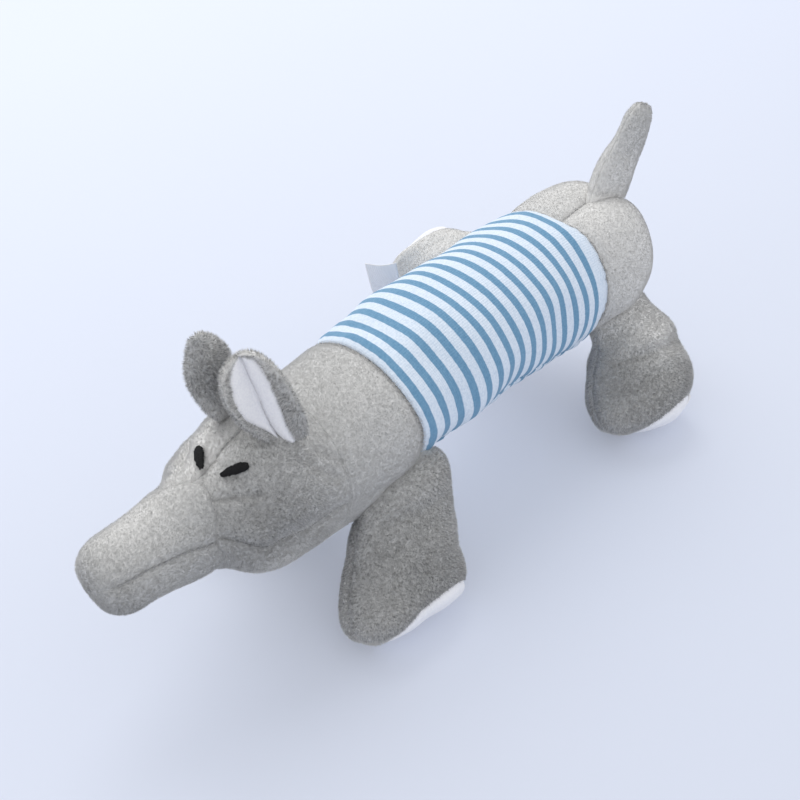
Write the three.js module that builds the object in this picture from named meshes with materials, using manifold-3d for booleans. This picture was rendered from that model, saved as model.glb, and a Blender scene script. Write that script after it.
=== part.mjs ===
// A squeaky plush elephant that stands on four short, splayed legs.
// Sizes are in millimetres. +X is forward, along the trunk, +Y is the toy's left and +Z is up.

import * as THREE from 'three';
import Module from 'manifold-3d';
import { LoftGeometry } from 'three/addons/geometries/LoftGeometry.js';
import { mergeVertices } from 'three/addons/utils/BufferGeometryUtils.js';

const wasm = await Module();
wasm.setup();

// Where the middle of the footprint lies, measured from the middle of the body.
const FOOTPRINT_X = 17.4;
const FOOTPRINT_Y = -3.1;

// Cloth, seams and filling.
const PLUSH = 2;
const SEAM = 0.4;
const FILLING_ROOM = 0.4;
const FLOOR_CUT = 0.5;

// Body from the rump to the tip of the trunk: middle x, middle height, half width, half height.
const BODY_ROWS = [
  [-107, 56, 4.5, 4.5],
  [-105, 56, 14, 14.5],
  [-100, 56.3, 21, 21.5],
  [-92, 56.5, 26.8, 26.6],
  [-80, 56.7, 29, 28.2],
  [-66, 57.2, 27.6, 27.6],
  [-40, 59.5, 27, 27],
  [-15, 61.5, 27, 27],
  [10, 61, 27, 27],
  [29, 58.8, 27.4, 27.4],
  [46, 56.7, 28, 28],
  [58, 55.8, 26.6, 27],
  [68, 56.2, 25.6, 26.6],
  [80, 58, 26.5, 28],
  [90, 57.6, 25.3, 26.5],
  [100, 57.6, 23, 21.8],
  [109, 60, 17.5, 16.8],
  [120, 62.5, 14.4, 14],
  [133, 65, 13.5, 13.2],
  [142, 66, 12.3, 12],
  [147.3, 66.3, 9, 8.8],
  [149.8, 66.4, 3.8, 3.7],
];
const SLEEVE_REAR_INDEX = 5;
const SLEEVE_FRONT_INDEX = 9;
const BODY_SIDES = 20;
const BODY_STEP = 13;

// The neck turns and the trunk lifts in grooves that open by these angles on each side.
const NECK_X = 66;
const NECK_Z = 56;
const NECK_TURN = 16;
const TRUNK_ROOT_X = 110;
const TRUNK_ROOT_Z = 60.2;
const TRUNK_PITCH = 13;
const TRUNK_LIFT = 18;
const CHIN_SEAM_Z = 41;

// Legs: distance from the seam down to the sole, shift towards the toe, half length, half depth.
const LEG_ROWS = [
  [-7, 0, 14.5, 9.5],
  [4, 0, 16.5, 11.8],
  [14, 1.6, 19.4, 14],
  [25, 3.4, 21.8, 15.4],
  [34, 3, 22.2, 15.6],
  [38.4, 1, 19.2, 13.4],
  [40.4, 0, 16.4, 10.6],
  [41, 0, 10, 6.4],
  [41.2, 0, 4, 2.6],
];
const LEG_SOLE_INDEX = 6;
const LEG_SIDES = 14;
const LEG_STEP = 14;
const SOLE_GAP = 0.4;

// Each leg: its seam on the torso, where its sole's middle points, its toe's heading, its swing in degrees.
const LEGS = [
  {
    name: 'front_left',
    stands: true,
    seam: [43, 21.6, 37.45],
    sole: [55, 43.4, 5.25],
    toe: [1, -0.1, 0],
    swing: [-22, 40],
  },
  {
    name: 'front_right',
    stands: true,
    seam: [43, -21.6, 37.45],
    sole: [55, -43.4, 5.25],
    toe: [1, 0.1, 0],
    swing: [-22, 40],
  },
  {
    name: 'hind_left',
    stands: true,
    seam: [-80, 21.8, 38.1],
    sole: [-79, 45.4, 6.1],
    toe: [1, -0.22, 0],
    swing: [-22, 40],
  },
  {
    name: 'hind_right',
    stands: false,
    seam: [-75, -25, 43.5],
    sole: [-52, -66, 36],
    toe: [1, 0, 0],
    swing: [-52, 12],
  },
];

// Tail, a flat leaf in the toy's middle plane: middle x, middle height, half thickness, half width.
const TAIL_ROWS = [
  [-91, 74, 5, 10.5],
  [-95, 82, 6, 11.8],
  [-101, 92, 5.8, 10.8],
  [-107, 101, 4.8, 8.2],
  [-111, 106, 3.4, 5.2],
  [-112.6, 108, 1.4, 2],
];
const TAIL_HOLLOW_INDEX = 4;
const TAIL_SEAM_X = -94.6;
const TAIL_SEAM_Z = 81.9;
const TAIL_SEAM_SLOPE = 27;
const TAIL_SWAY = 28;
const TAIL_SIDES = 12;
const TAIL_STEP = 8;

// Ears: height up the ear, half width, how far the edges curl forward.
const EAR_ROWS = [
  [-1, 5.5, 0.6],
  [4, 8, 2],
  [11, 11.6, 4.2],
  [18, 12.4, 5],
  [25, 11, 4],
  [30, 7, 2],
  [32.4, 2.6, 0.6],
];
const EAR_FLAP = [-5, 40];

// Each ear leans its own way: its seam on the head, its tip and the way from its rear to its front edge.
const EARS = [
  { name: 'left', side: 1, seam: [78, 10.8, 82], tip: [84, -3.5, 108.5], front: [0.84, -0.36, -0.395] },
  { name: 'right', side: -1, seam: [82.5, -11, 83.8], tip: [87.2, -13.5, 114.3], front: [0.93, 0.12, -0.13] },
];
const EAR_OUTER_THICK = 2;
const EAR_LINING_THICK = 1.3;
const EAR_SPAN_COUNT = 6;

// Eyes: bars of satin stitch on the forehead, from an inner end to an outer end.
const EYE_INNER = [101.4, 3.2];
const EYE_OUTER = [95.8, 9];
const EYE_HALF_LENGTH = 5.2;
const EYE_HALF_WIDTH = 1.8;
const EYE_HALF_HEIGHT = 1.5;
const EYE_SIDES = 12;
const EYE_RING_COUNT = 8;

// Care label in the front seam of the right hind leg.
const LABEL_LEG_INDEX = 3;
const LABEL_ROW_INDEX = 3;
const LABEL_CLEARANCE = 0.8;
const LABEL_WIDTH = 12;
const LABEL_LENGTH = 20;
const LABEL_THICK = 0.4;
const LABEL_LEAN = 58;

// Squeaker, upright in the middle of the torso.
const SQUEAKER_X = -15;
const SQUEAKER_FLOOR_Z = 51;
const SQUEAKER_RADIUS = 17;
const SQUEAKER_ROOM = 0.5;
const SQUEAKER_DISC = 2.2;
const SQUEAKER_SIDES = 20;
const BELLOWS_HEIGHT = 15;
const BELLOWS_PLEAT_COUNT = 3;
const BELLOWS_DEPTH = 3.6;
const BELLOWS_WALL = 1;
const REED_HOLDER_RADIUS = 5;
const REED_HOLDER_BORE = 3;
const REED_HOLDER_HEIGHT = 7;
const REED_WIDTH = 5.4;
const REED_THICK = 0.5;
const REED_HEIGHT = 6;

// Working values for cuts.
const REACH = 400;
const OVERRUN = 4;
const MERGE = 1e-4;
const SLOPE_STEP = 1e-3;
const SWING_STEPS = 3;

const AHEAD = new THREE.Vector3(1, 0, 0);
const LEFT = new THREE.Vector3(0, 1, 0);
const UP = new THREE.Vector3(0, 0, 1);
const FULL_TURN = Math.PI * 2;

const GREY = { color: 0x9d9da0, roughness: 0.95, metalness: 0 };
const STRIPE = { color: 0x8fa8bf, roughness: 0.9, metalness: 0 };
const WHITE = { color: 0xe9e9ec, roughness: 0.85, metalness: 0 };
const BLACK = { color: 0x1a1a1c, roughness: 0.5, metalness: 0 };
const FIBRE = { color: 0xf4f4f2, roughness: 1, metalness: 0 };
const PLASTIC = { color: 0xe6e6e0, roughness: 0.5, metalness: 0 };

const vector = (values) => new THREE.Vector3(...values);
const radians = THREE.MathUtils.degToRad;

// Solids for cutting and joining

// A copy with nothing but its corners and triangles.
function bare(geometry) {
  const copy = new THREE.BufferGeometry();
  copy.setAttribute('position', geometry.attributes.position.clone());
  copy.setIndex(geometry.index.clone());
  return copy;
}

function solidOf(geometry) {
  const merged = mergeVertices(bare(geometry), MERGE);
  const mesh = new wasm.Mesh({
    numProp: 3,
    vertProperties: new Float32Array(merged.attributes.position.array),
    triVerts: new Uint32Array(merged.index.array),
  });
  return new wasm.Manifold(mesh);
}

function geometryOf(solid) {
  const mesh = solid.getMesh();
  const geometry = new THREE.BufferGeometry();
  geometry.setAttribute('position', new THREE.BufferAttribute(mesh.vertProperties, mesh.numProp));
  geometry.setIndex(new THREE.BufferAttribute(mesh.triVerts, 1));
  geometry.computeVertexNormals();
  return geometry;
}

// The half of space ahead of a plane that stands a little ahead of a point.
function sideOf(point, ahead, clearance = SEAM / 2) {
  const towards = ahead.clone().normalize();
  const block = new THREE.BoxGeometry(REACH, REACH, REACH);
  block.translate(0, 0, REACH / 2 + clearance);
  block.applyQuaternion(new THREE.Quaternion().setFromUnitVectors(UP, towards));
  block.translate(point.x, point.y, point.z);
  return solidOf(block);
}

// The space ahead of a groove that opens by half an angle on this side of its pivot.
function aheadOfGroove(pivot, ahead, spread, opening) {
  const half = radians(opening / 2);
  const forward = ahead.clone().multiplyScalar(Math.cos(half));
  const first = forward.clone().addScaledVector(spread, Math.sin(half));
  const second = forward.clone().addScaledVector(spread, -Math.sin(half));
  return sideOf(pivot, first).intersect(sideOf(pivot, second));
}

// What is left of a limb when the body has passed it at every angle of its swing.
function clearOfSwing(limb, body, pivot, axis, swing) {
  let left = limb;
  for (let step = 0; step <= SWING_STEPS; step += 1) {
    const angle = radians(THREE.MathUtils.lerp(swing[0], swing[1], step / SWING_STEPS));
    const passing = bare(body);
    passing.translate(-pivot.x, -pivot.y, -pivot.z);
    passing.applyQuaternion(new THREE.Quaternion().setFromAxisAngle(axis, -angle));
    passing.translate(pivot.x, pivot.y, pivot.z);
    left = left.subtract(solidOf(passing));
  }
  return left;
}

// A swelling form: oval sections set across a curved middle line.
class Form {
  constructor(middles, halves, across, upright = null) {
    this.middle = new THREE.CatmullRomCurve3(middles, false, 'catmullrom');
    this.half = new THREE.CatmullRomCurve3(halves, false, 'catmullrom');
    this.across = across.clone().normalize();
    this.upright = upright;
    this.spans = middles.length - 1;
    this.lengths = middles.slice(1).map((point, index) => point.distanceTo(middles[index]));
  }

  at(row) {
    return row / this.spans;
  }

  ahead(t) {
    return this.middle.getTangent(THREE.MathUtils.clamp(t, 0, 1));
  }

  // Sections stand upright where the form asks for it, and square to the middle line otherwise.
  upward(t) {
    return this.upright ? this.upright.clone() : this.ahead(t).cross(this.across).normalize();
  }

  point(t, angle) {
    const inside = THREE.MathUtils.clamp(t, 0, 1);
    const half = this.half.getPoint(inside);
    const spot = this.middle.getPoint(inside);
    spot.addScaledVector(this.across, half.x * Math.cos(angle));
    spot.addScaledVector(this.upward(inside), half.y * Math.sin(angle));
    return spot;
  }

  outward(t, angle) {
    const along = this.point(t + SLOPE_STEP, angle).sub(this.point(t - SLOPE_STEP, angle));
    const round = this.point(t, angle + SLOPE_STEP).sub(this.point(t, angle - SLOPE_STEP));
    return round.cross(along).normalize();
  }

  skin(t, angle, inset) {
    return this.point(t, angle).addScaledVector(this.outward(t, angle), -inset);
  }

  ring(t, inset, sides) {
    return Array.from({ length: sides }, (_, side) => this.skin(t, FULL_TURN * side / sides, inset));
  }

  // Places along the form between two rows, about one step apart.
  places(first, last, step) {
    const found = [];
    for (let row = first; row < last; row += 1) {
      const parts = Math.max(1, Math.round(this.lengths[row] / step));
      for (let part = 0; part < parts; part += 1) {
        found.push(this.at(row + part / parts));
      }
    }
    found.push(this.at(last));
    return found;
  }

  // A closed solid between two rows. Its ends run on past the rows where a cut must go right through.
  geometry({ first = 0, last = this.spans, inset = 0, sides, step, before = 0, after = 0 }) {
    const rings = this.places(first, last, step).map((t) => this.ring(t, inset, sides));
    if (before > 0) {
      const back = this.ahead(this.at(first)).multiplyScalar(-before);
      rings.unshift(rings[0].map((spot) => spot.clone().add(back)));
    }
    if (after > 0) {
      const forward = this.ahead(this.at(last)).multiplyScalar(after);
      rings.push(rings[rings.length - 1].map((spot) => spot.clone().add(forward)));
    }
    return new LoftGeometry(rings, { closed: true, capStart: true, capEnd: true });
  }
}

const toy = new THREE.Group();
const standing = new THREE.Group();
standing.position.set(-FOOTPRINT_X, -FOOTPRINT_Y, 0);
toy.add(standing);

function addPiece(name, geometry, look) {
  const piece = new THREE.Mesh(geometry, new THREE.MeshStandardMaterial(look));
  piece.name = name;
  standing.add(piece);
}

function addSolid(name, solid, look) {
  addPiece(name, geometryOf(solid), look);
}

// Torso, head and trunk, all cut from one swelling body

const body = new Form(
  BODY_ROWS.map(([x, z]) => new THREE.Vector3(x, 0, z)),
  BODY_ROWS.map(([, , width, height]) => new THREE.Vector3(width, height, 0)),
  LEFT,
  UP,
);
const bodyMesh = { sides: BODY_SIDES, step: BODY_STEP };
const bodySkin = solidOf(body.geometry({ ...bodyMesh, inset: 0 }))
  .subtract(solidOf(body.geometry({ ...bodyMesh, inset: PLUSH })));
const bodyFilling = solidOf(body.geometry({ ...bodyMesh, inset: PLUSH + FILLING_ROOM }));
const bodyRoom = body.geometry({ ...bodyMesh, inset: -SEAM });

const rearSeam = body.middle.getPoint(body.at(SLEEVE_REAR_INDEX));
const rearAhead = body.ahead(body.at(SLEEVE_REAR_INDEX));
const frontSeam = body.middle.getPoint(body.at(SLEEVE_FRONT_INDEX));
const frontAhead = body.ahead(body.at(SLEEVE_FRONT_INDEX));
const neck = new THREE.Vector3(NECK_X, 0, NECK_Z);
const trunkRoot = new THREE.Vector3(TRUNK_ROOT_X, 0, TRUNK_ROOT_Z);
const trunkAhead = new THREE.Vector3(Math.cos(radians(TRUNK_PITCH)), 0, Math.sin(radians(TRUNK_PITCH)));
const trunkUp = trunkAhead.clone().cross(LEFT);

const back = (direction) => direction.clone().negate();
const leftHalf = sideOf(new THREE.Vector3(), LEFT);
const rightHalf = sideOf(new THREE.Vector3(), back(LEFT));
const torsoSide = aheadOfGroove(neck, back(AHEAD), LEFT, NECK_TURN);
const headSide = aheadOfGroove(neck, AHEAD, LEFT, NECK_TURN)
  .intersect(aheadOfGroove(trunkRoot, back(trunkAhead), trunkUp, TRUNK_LIFT));
const trunkSide = aheadOfGroove(trunkRoot, trunkAhead, trunkUp, TRUNK_LIFT);

function addTorso() {
  const rump = bodySkin.intersect(sideOf(rearSeam, back(rearAhead)));
  const sleeve = bodySkin.intersect(sideOf(rearSeam, rearAhead))
    .intersect(sideOf(frontSeam, back(frontAhead)));
  const chest = bodySkin.intersect(sideOf(frontSeam, frontAhead)).intersect(torsoSide);
  addSolid('rump_left_panel', rump.intersect(leftHalf), GREY);
  addSolid('rump_right_panel', rump.intersect(rightHalf), GREY);
  addSolid('striped_sleeve', sleeve, STRIPE);
  addSolid('chest_panel', chest, GREY);
}

function addHead() {
  const cover = bodySkin.intersect(headSide);
  const chinSeam = new THREE.Vector3(0, 0, CHIN_SEAM_Z);
  const cheeks = cover.intersect(sideOf(chinSeam, UP));
  addSolid('head_left_panel', cheeks.intersect(leftHalf), GREY);
  addSolid('head_right_panel', cheeks.intersect(rightHalf), GREY);
  addSolid('chin_panel', cover.intersect(sideOf(chinSeam, back(UP))), GREY);
  addSolid('head_filling', bodyFilling.intersect(headSide), FIBRE);
}

function addTrunk() {
  const cover = bodySkin.intersect(trunkSide);
  addSolid('trunk_top_panel', cover.intersect(sideOf(trunkRoot, trunkUp)), GREY);
  addSolid('trunk_under_panel', cover.intersect(sideOf(trunkRoot, back(trunkUp))), GREY);
  addSolid('trunk_filling', bodyFilling.intersect(trunkSide), FIBRE);
}

// Squeaker and the torso's filling round it

function ringProfile(inner, outer, low, high) {
  const corners = [[inner, low], [outer, low], [outer, high], [inner, high], [inner, low]];
  return corners.map(([radius, height]) => new THREE.Vector2(radius, height));
}

function turned(profile, height) {
  const geometry = new THREE.LatheGeometry(profile, SQUEAKER_SIDES);
  geometry.rotateX(Math.PI / 2);
  geometry.translate(SQUEAKER_X, 0, height);
  return geometry;
}

function bellowsProfile() {
  const wall = (depth) => {
    const points = [];
    for (let fold = 0; fold <= BELLOWS_PLEAT_COUNT * 2; fold += 1) {
      const height = BELLOWS_HEIGHT * fold / (BELLOWS_PLEAT_COUNT * 2);
      const radius = SQUEAKER_RADIUS - SQUEAKER_ROOM - (fold % 2) * BELLOWS_DEPTH;
      points.push(new THREE.Vector2(radius - depth, height));
    }
    return points;
  };
  const outside = wall(0);
  const inside = wall(BELLOWS_WALL * 2).reverse();
  return [...outside, ...inside, outside[0].clone()];
}

function addSqueaker() {
  const bellowsFloor = SQUEAKER_FLOOR_Z + SQUEAKER_DISC + SEAM;
  const topFloor = bellowsFloor + BELLOWS_HEIGHT + SEAM;
  const hole = REED_HOLDER_RADIUS + SEAM;
  const base = ringProfile(hole, SQUEAKER_RADIUS, 0, SQUEAKER_DISC);
  const top = ringProfile(0, SQUEAKER_RADIUS, 0, SQUEAKER_DISC);
  const holder = ringProfile(REED_HOLDER_BORE, REED_HOLDER_RADIUS, 0, REED_HOLDER_HEIGHT);
  const reed = new THREE.BoxGeometry(REED_WIDTH, REED_THICK, REED_HEIGHT);
  reed.translate(SQUEAKER_X, 0, SQUEAKER_FLOOR_Z + REED_HOLDER_HEIGHT - REED_HEIGHT / 2);
  addPiece('squeaker_base', turned(base, SQUEAKER_FLOOR_Z), PLASTIC);
  addPiece('squeaker_bellows', turned(bellowsProfile(), bellowsFloor), PLASTIC);
  addPiece('squeaker_top', turned(top, topFloor), PLASTIC);
  addPiece('squeaker_reed_holder', turned(holder, SQUEAKER_FLOOR_Z), PLASTIC);
  addPiece('squeaker_reed', reed, PLASTIC);
}

function addTorsoFilling() {
  const height = BELLOWS_HEIGHT + 2 * SQUEAKER_DISC + 2 * SEAM;
  const room = turned(
    ringProfile(0, SQUEAKER_RADIUS + SQUEAKER_ROOM, -SQUEAKER_ROOM, height + SQUEAKER_ROOM),
    SQUEAKER_FLOOR_Z,
  );
  const filling = bodyFilling.intersect(torsoSide).subtract(solidOf(room));
  const split = new THREE.Vector3(0, 0, SQUEAKER_FLOOR_Z + height / 2);
  addSolid('torso_filling_upper', filling.intersect(sideOf(split, UP)), FIBRE);
  addSolid('torso_filling_lower', filling.intersect(sideOf(split, back(UP))), FIBRE);
}

// Legs

function legForm({ seam, sole, toe }) {
  const from = vector(seam);
  const down = vector(sole).sub(from).normalize();
  const heading = vector(toe).normalize();
  const middles = LEG_ROWS.map(([distance, shift]) => {
    return from.clone().addScaledVector(down, distance).addScaledVector(heading, shift);
  });
  const halves = LEG_ROWS.map(([, , length, depth]) => new THREE.Vector3(length, depth, 0));
  return new Form(middles, halves, heading);
}

// A standing leg is moved straight up or down until the floor cuts a little off its foot.
function settled(leg) {
  if (!leg.stands) {
    return leg;
  }
  const shape = legForm(leg).geometry({ sides: LEG_SIDES, step: LEG_STEP });
  shape.computeBoundingBox();
  const drop = -FLOOR_CUT - shape.boundingBox.min.z;
  const moved = ([x, y, z]) => [x, y, z + drop];
  return { ...leg, seam: moved(leg.seam), sole: moved(leg.sole) };
}

// Sets the outer side of a left leg and of a right leg apart.
const sideSign = ({ seam }) => Math.sign(seam[1]);

function legHinge(leg) {
  return vector(leg.toe).normalize().multiplyScalar(sideSign(leg));
}

function addLeg(leg) {
  const form = legForm(leg);
  const mesh = { sides: LEG_SIDES, step: LEG_STEP, last: LEG_SOLE_INDEX };
  const pivot = vector(leg.seam);
  const down = vector(leg.sole).sub(pivot).normalize();
  const soleMiddle = form.middle.getPoint(form.at(LEG_SOLE_INDEX));
  const outerSide = form.upward(form.at(LEG_SOLE_INDEX));
  if (outerSide.y * sideSign(leg) < 0) {
    outerSide.negate();
  }
  const outward = form.across.clone().cross(form.upward(form.at(LEG_SOLE_INDEX))).normalize();
  if (outward.dot(down) < 0) {
    outward.negate();
  }
  const whole = solidOf(form.geometry(mesh));
  const hollow = solidOf(form.geometry({ ...mesh, inset: PLUSH, before: OVERRUN, after: OVERRUN }));
  const aboveFloor = sideOf(new THREE.Vector3(), UP, 0);
  const cover = clearOfSwing(whole.subtract(hollow), bodyRoom, pivot, legHinge(leg), leg.swing)
    .intersect(aboveFloor);
  const filling = solidOf(form.geometry({ ...mesh, inset: PLUSH + FILLING_ROOM }))
    .intersect(sideOf(soleMiddle, back(outward)));
  const sole = form.geometry({ ...mesh, first: LEG_SOLE_INDEX, last: form.spans });
  sole.translate(outward.x * SOLE_GAP, outward.y * SOLE_GAP, outward.z * SOLE_GAP);
  addSolid(`leg_${leg.name}_outer`, cover.intersect(sideOf(soleMiddle, outerSide)), GREY);
  addSolid(`leg_${leg.name}_inner`, cover.intersect(sideOf(soleMiddle, back(outerSide))), GREY);
  addSolid(`leg_${leg.name}_sole`, solidOf(sole).intersect(aboveFloor), WHITE);
  const stuffing = clearOfSwing(filling, bodyRoom, pivot, legHinge(leg), leg.swing);
  addSolid(`leg_${leg.name}_filling`, stuffing, FIBRE);
}

// Tail

function addTail() {
  const form = new Form(
    TAIL_ROWS.map(([x, z]) => new THREE.Vector3(x, 0, z)),
    TAIL_ROWS.map(([, , thickness, width]) => new THREE.Vector3(thickness, width, 0)),
    LEFT,
  );
  const mesh = { sides: TAIL_SIDES, step: TAIL_STEP };
  const pivot = new THREE.Vector3(TAIL_SEAM_X, 0, TAIL_SEAM_Z);
  const hinge = new THREE.Vector3(Math.cos(radians(TAIL_SEAM_SLOPE)), 0, Math.sin(radians(TAIL_SEAM_SLOPE)));
  const sway = [-TAIL_SWAY, TAIL_SWAY];
  const inside = { ...mesh, last: TAIL_HOLLOW_INDEX };
  const hollow = solidOf(form.geometry({ ...inside, inset: PLUSH, before: OVERRUN }));
  const cover = clearOfSwing(solidOf(form.geometry(mesh)).subtract(hollow), bodyRoom, pivot, hinge, sway);
  const filling = solidOf(form.geometry({ ...inside, inset: PLUSH + FILLING_ROOM }));
  addSolid('tail_left_panel', cover.intersect(leftHalf), GREY);
  addSolid('tail_right_panel', cover.intersect(rightHalf), GREY);
  addSolid('tail_filling', clearOfSwing(filling, bodyRoom, pivot, hinge, sway), FIBRE);
}

// Ears

// One cloth layer of an ear, between two depths behind and before the ear's middle surface.
function earLayer({ root, across, rise, facing, side }, behind, before) {
  const rows = new THREE.CatmullRomCurve3(EAR_ROWS.map(vector), false, 'catmullrom');
  const sections = rows.getPoints(EAR_ROWS.length - 1).map(({ x: height, y: half, z: curl }) => {
    const spot = (share, depth) => root.clone()
      .addScaledVector(rise, height)
      .addScaledVector(across, half * share)
      .addScaledVector(facing, curl * share * share + depth);
    const shares = Array.from({ length: EAR_SPAN_COUNT + 1 }, (_, index) => 2 * index / EAR_SPAN_COUNT - 1);
    const rear = shares.map((share) => spot(share, behind));
    const front = shares.map((share) => spot(share, before));
    return side > 0 ? [...rear, ...front.reverse()] : [...front, ...rear.reverse()];
  });
  return new LoftGeometry(sections, { closed: true, capStart: true, capEnd: true });
}

function addEar({ name, side, seam, tip, front }) {
  const root = vector(seam);
  const across = vector(front).normalize();
  const rise = vector(tip).sub(root);
  rise.addScaledVector(across, -rise.dot(across)).normalize();
  const facing = rise.clone().cross(across).multiplyScalar(side).normalize();
  const hinge = across.clone().multiplyScalar(-side);
  const layers = [
    ['outer', -EAR_OUTER_THICK, 0, GREY],
    ['lining', SEAM, SEAM + EAR_LINING_THICK, WHITE],
  ];
  layers.forEach(([layer, behind, before, look]) => {
    const cloth = solidOf(earLayer({ root, across, rise, facing, side }, behind, before));
    addSolid(`ear_${name}_${layer}`, clearOfSwing(cloth, bodyRoom, root, hinge, EAR_FLAP), look);
  });
}

// Eyes

function addEye(name, side) {
  const inner = new THREE.Vector3(EYE_INNER[0], EYE_INNER[1] * side, 0);
  const outer = new THREE.Vector3(EYE_OUTER[0], EYE_OUTER[1] * side, 0);
  const spot = inner.clone().add(outer).divideScalar(2);
  const geometry = new THREE.SphereGeometry(1, EYE_SIDES, EYE_RING_COUNT);
  geometry.scale(EYE_HALF_LENGTH, EYE_HALF_WIDTH, EYE_HALF_HEIGHT);
  const along = outer.clone().sub(inner);
  geometry.rotateZ(Math.atan2(along.y, along.x));
  geometry.translate(spot.x, spot.y, foreheadHeight(spot));
  addSolid(`eye_${name}`, solidOf(geometry).subtract(solidOf(bodyRoom)), BLACK);
}

// Height of the body's skin above a point of the floor plan.
function foreheadHeight({ x, y }) {
  const down = new THREE.Raycaster(new THREE.Vector3(x, y, REACH), back(UP));
  const cover = new THREE.Mesh(bodyRoom);
  return down.intersectObject(cover)[0].point.z;
}

// Care label

function addLabel() {
  const form = legForm(LEGS[LABEL_LEG_INDEX]);
  const t = form.at(LABEL_ROW_INDEX);
  const root = form.skin(t, 0, -LABEL_CLEARANCE);
  const width = form.skin(t + SLOPE_STEP, 0, 0).sub(form.skin(t - SLOPE_STEP, 0, 0)).normalize();
  const forward = form.outward(t, 0);
  const aside = width.clone().cross(forward);
  aside.multiplyScalar(Math.sign(aside.z));
  const rise = forward.multiplyScalar(Math.cos(radians(LABEL_LEAN)));
  rise.addScaledVector(aside, Math.sin(radians(LABEL_LEAN)));
  const geometry = new THREE.BoxGeometry(LABEL_WIDTH, LABEL_THICK, LABEL_LENGTH);
  geometry.translate(0, 0, LABEL_LENGTH / 2);
  geometry.applyMatrix4(new THREE.Matrix4().makeBasis(width, rise.clone().cross(width), rise));
  geometry.translate(root.x, root.y, root.z);
  addPiece('care_label', geometry, WHITE);
}

addTorso();
addHead();
addTrunk();
addSqueaker();
addTorsoFilling();
LEGS.map(settled).forEach(addLeg);
addTail();
EARS.forEach(addEar);
addEye('left', 1);
addEye('right', -1);
addLabel();

export default toy;
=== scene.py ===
"""Looks of a squeaky plush elephant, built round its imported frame.

Shapes are drawn in millimetres in the toy's own drawing and moved into the frame by metres().
"""

import math

import bmesh
import bpy
import numpy as np
from mathutils import Matrix


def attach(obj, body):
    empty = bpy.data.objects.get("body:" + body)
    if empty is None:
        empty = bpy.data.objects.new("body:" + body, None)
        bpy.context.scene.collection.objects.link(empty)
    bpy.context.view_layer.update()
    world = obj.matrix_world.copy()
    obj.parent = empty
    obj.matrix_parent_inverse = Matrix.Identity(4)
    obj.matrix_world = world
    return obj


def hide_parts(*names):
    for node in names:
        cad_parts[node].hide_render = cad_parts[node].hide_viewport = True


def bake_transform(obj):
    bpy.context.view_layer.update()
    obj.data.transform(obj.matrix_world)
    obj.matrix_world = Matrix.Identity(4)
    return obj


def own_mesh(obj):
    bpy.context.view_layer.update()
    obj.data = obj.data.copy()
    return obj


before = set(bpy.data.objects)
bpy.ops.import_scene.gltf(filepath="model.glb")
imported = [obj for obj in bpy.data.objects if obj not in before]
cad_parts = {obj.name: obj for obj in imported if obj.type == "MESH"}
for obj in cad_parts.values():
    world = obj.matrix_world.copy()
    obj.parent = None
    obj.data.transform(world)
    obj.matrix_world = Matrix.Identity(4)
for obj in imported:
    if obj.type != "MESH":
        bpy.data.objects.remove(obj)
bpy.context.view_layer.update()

# Where the frame's origin lies in the drawing
FOOTPRINT = np.array([17.4, -3.1, 0.0])
MM = 0.001

# Camera: its place, where it stands round the toy and above it, and its lens
CAMERA_PLACE = (299.73, 266.20, 408.22)
CAMERA_TURN = math.radians(43.3)
CAMERA_RISE = math.radians(42.7)
CAMERA_LENS, SENSOR_WIDTH, CLIP_START = 69.3, 36, 0.01

UP = np.array([0.0, 0.0, 1.0])
LEFT = np.array([0.0, 1.0, 0.0])
AHEAD = np.array([1.0, 0.0, 0.0])


def metres(points):
    return (np.asarray(points, float) - FOOTPRINT) * MM


def unit(vectors):
    length = np.linalg.norm(vectors, axis=-1, keepdims=True)
    return vectors / np.maximum(length, 1e-12)


def stand(made, place, side, back):
    """Sets a camera or a lamp up at a place in metres, with its back to the way given."""
    turn = np.eye(4)
    turn[:3, 0], turn[:3, 1], turn[:3, 2] = side, np.cross(back, side), back
    turn[:3, 3] = place
    made.matrix_world = Matrix(turn.tolist())
    bpy.context.scene.collection.objects.link(made)


def add_camera():
    level = np.array([math.cos(CAMERA_TURN), math.sin(CAMERA_TURN), 0.0])
    lens = bpy.data.cameras.new("camera")
    lens.sensor_width = SENSOR_WIDTH
    lens.lens = CAMERA_LENS
    lens.clip_start = CLIP_START
    camera = bpy.data.objects.new("camera", lens)
    back = math.cos(CAMERA_RISE) * level + math.sin(CAMERA_RISE) * UP
    stand(camera, metres(CAMERA_PLACE), np.cross(UP, level), back)
    bpy.context.scene.camera = camera


add_camera()

# Noise made of plane waves, so that it is smooth and the same each run


def waves(points, wavelength, seed, count=14):
    rng = np.random.default_rng(seed)
    way = unit(rng.normal(size=(count, 3)))
    number = 2 * np.pi / (wavelength * rng.uniform(0.7, 1.4, count))
    phase = rng.uniform(0, 2 * np.pi, count)
    flat = points.reshape(-1, 3)
    total = np.zeros(len(flat))
    for k in range(count):
        total += np.sin(flat @ way[k] * number[k] + phase[k])
    return (total * math.sqrt(2 / count)).reshape(points.shape[:-1])


def smooth(x, low, high):
    t = np.clip((x - low) / (high - low), 0, 1)
    return t * t * (3 - 2 * t)


def bell(x, width):
    return np.exp(-((x / width) ** 2))


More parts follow.
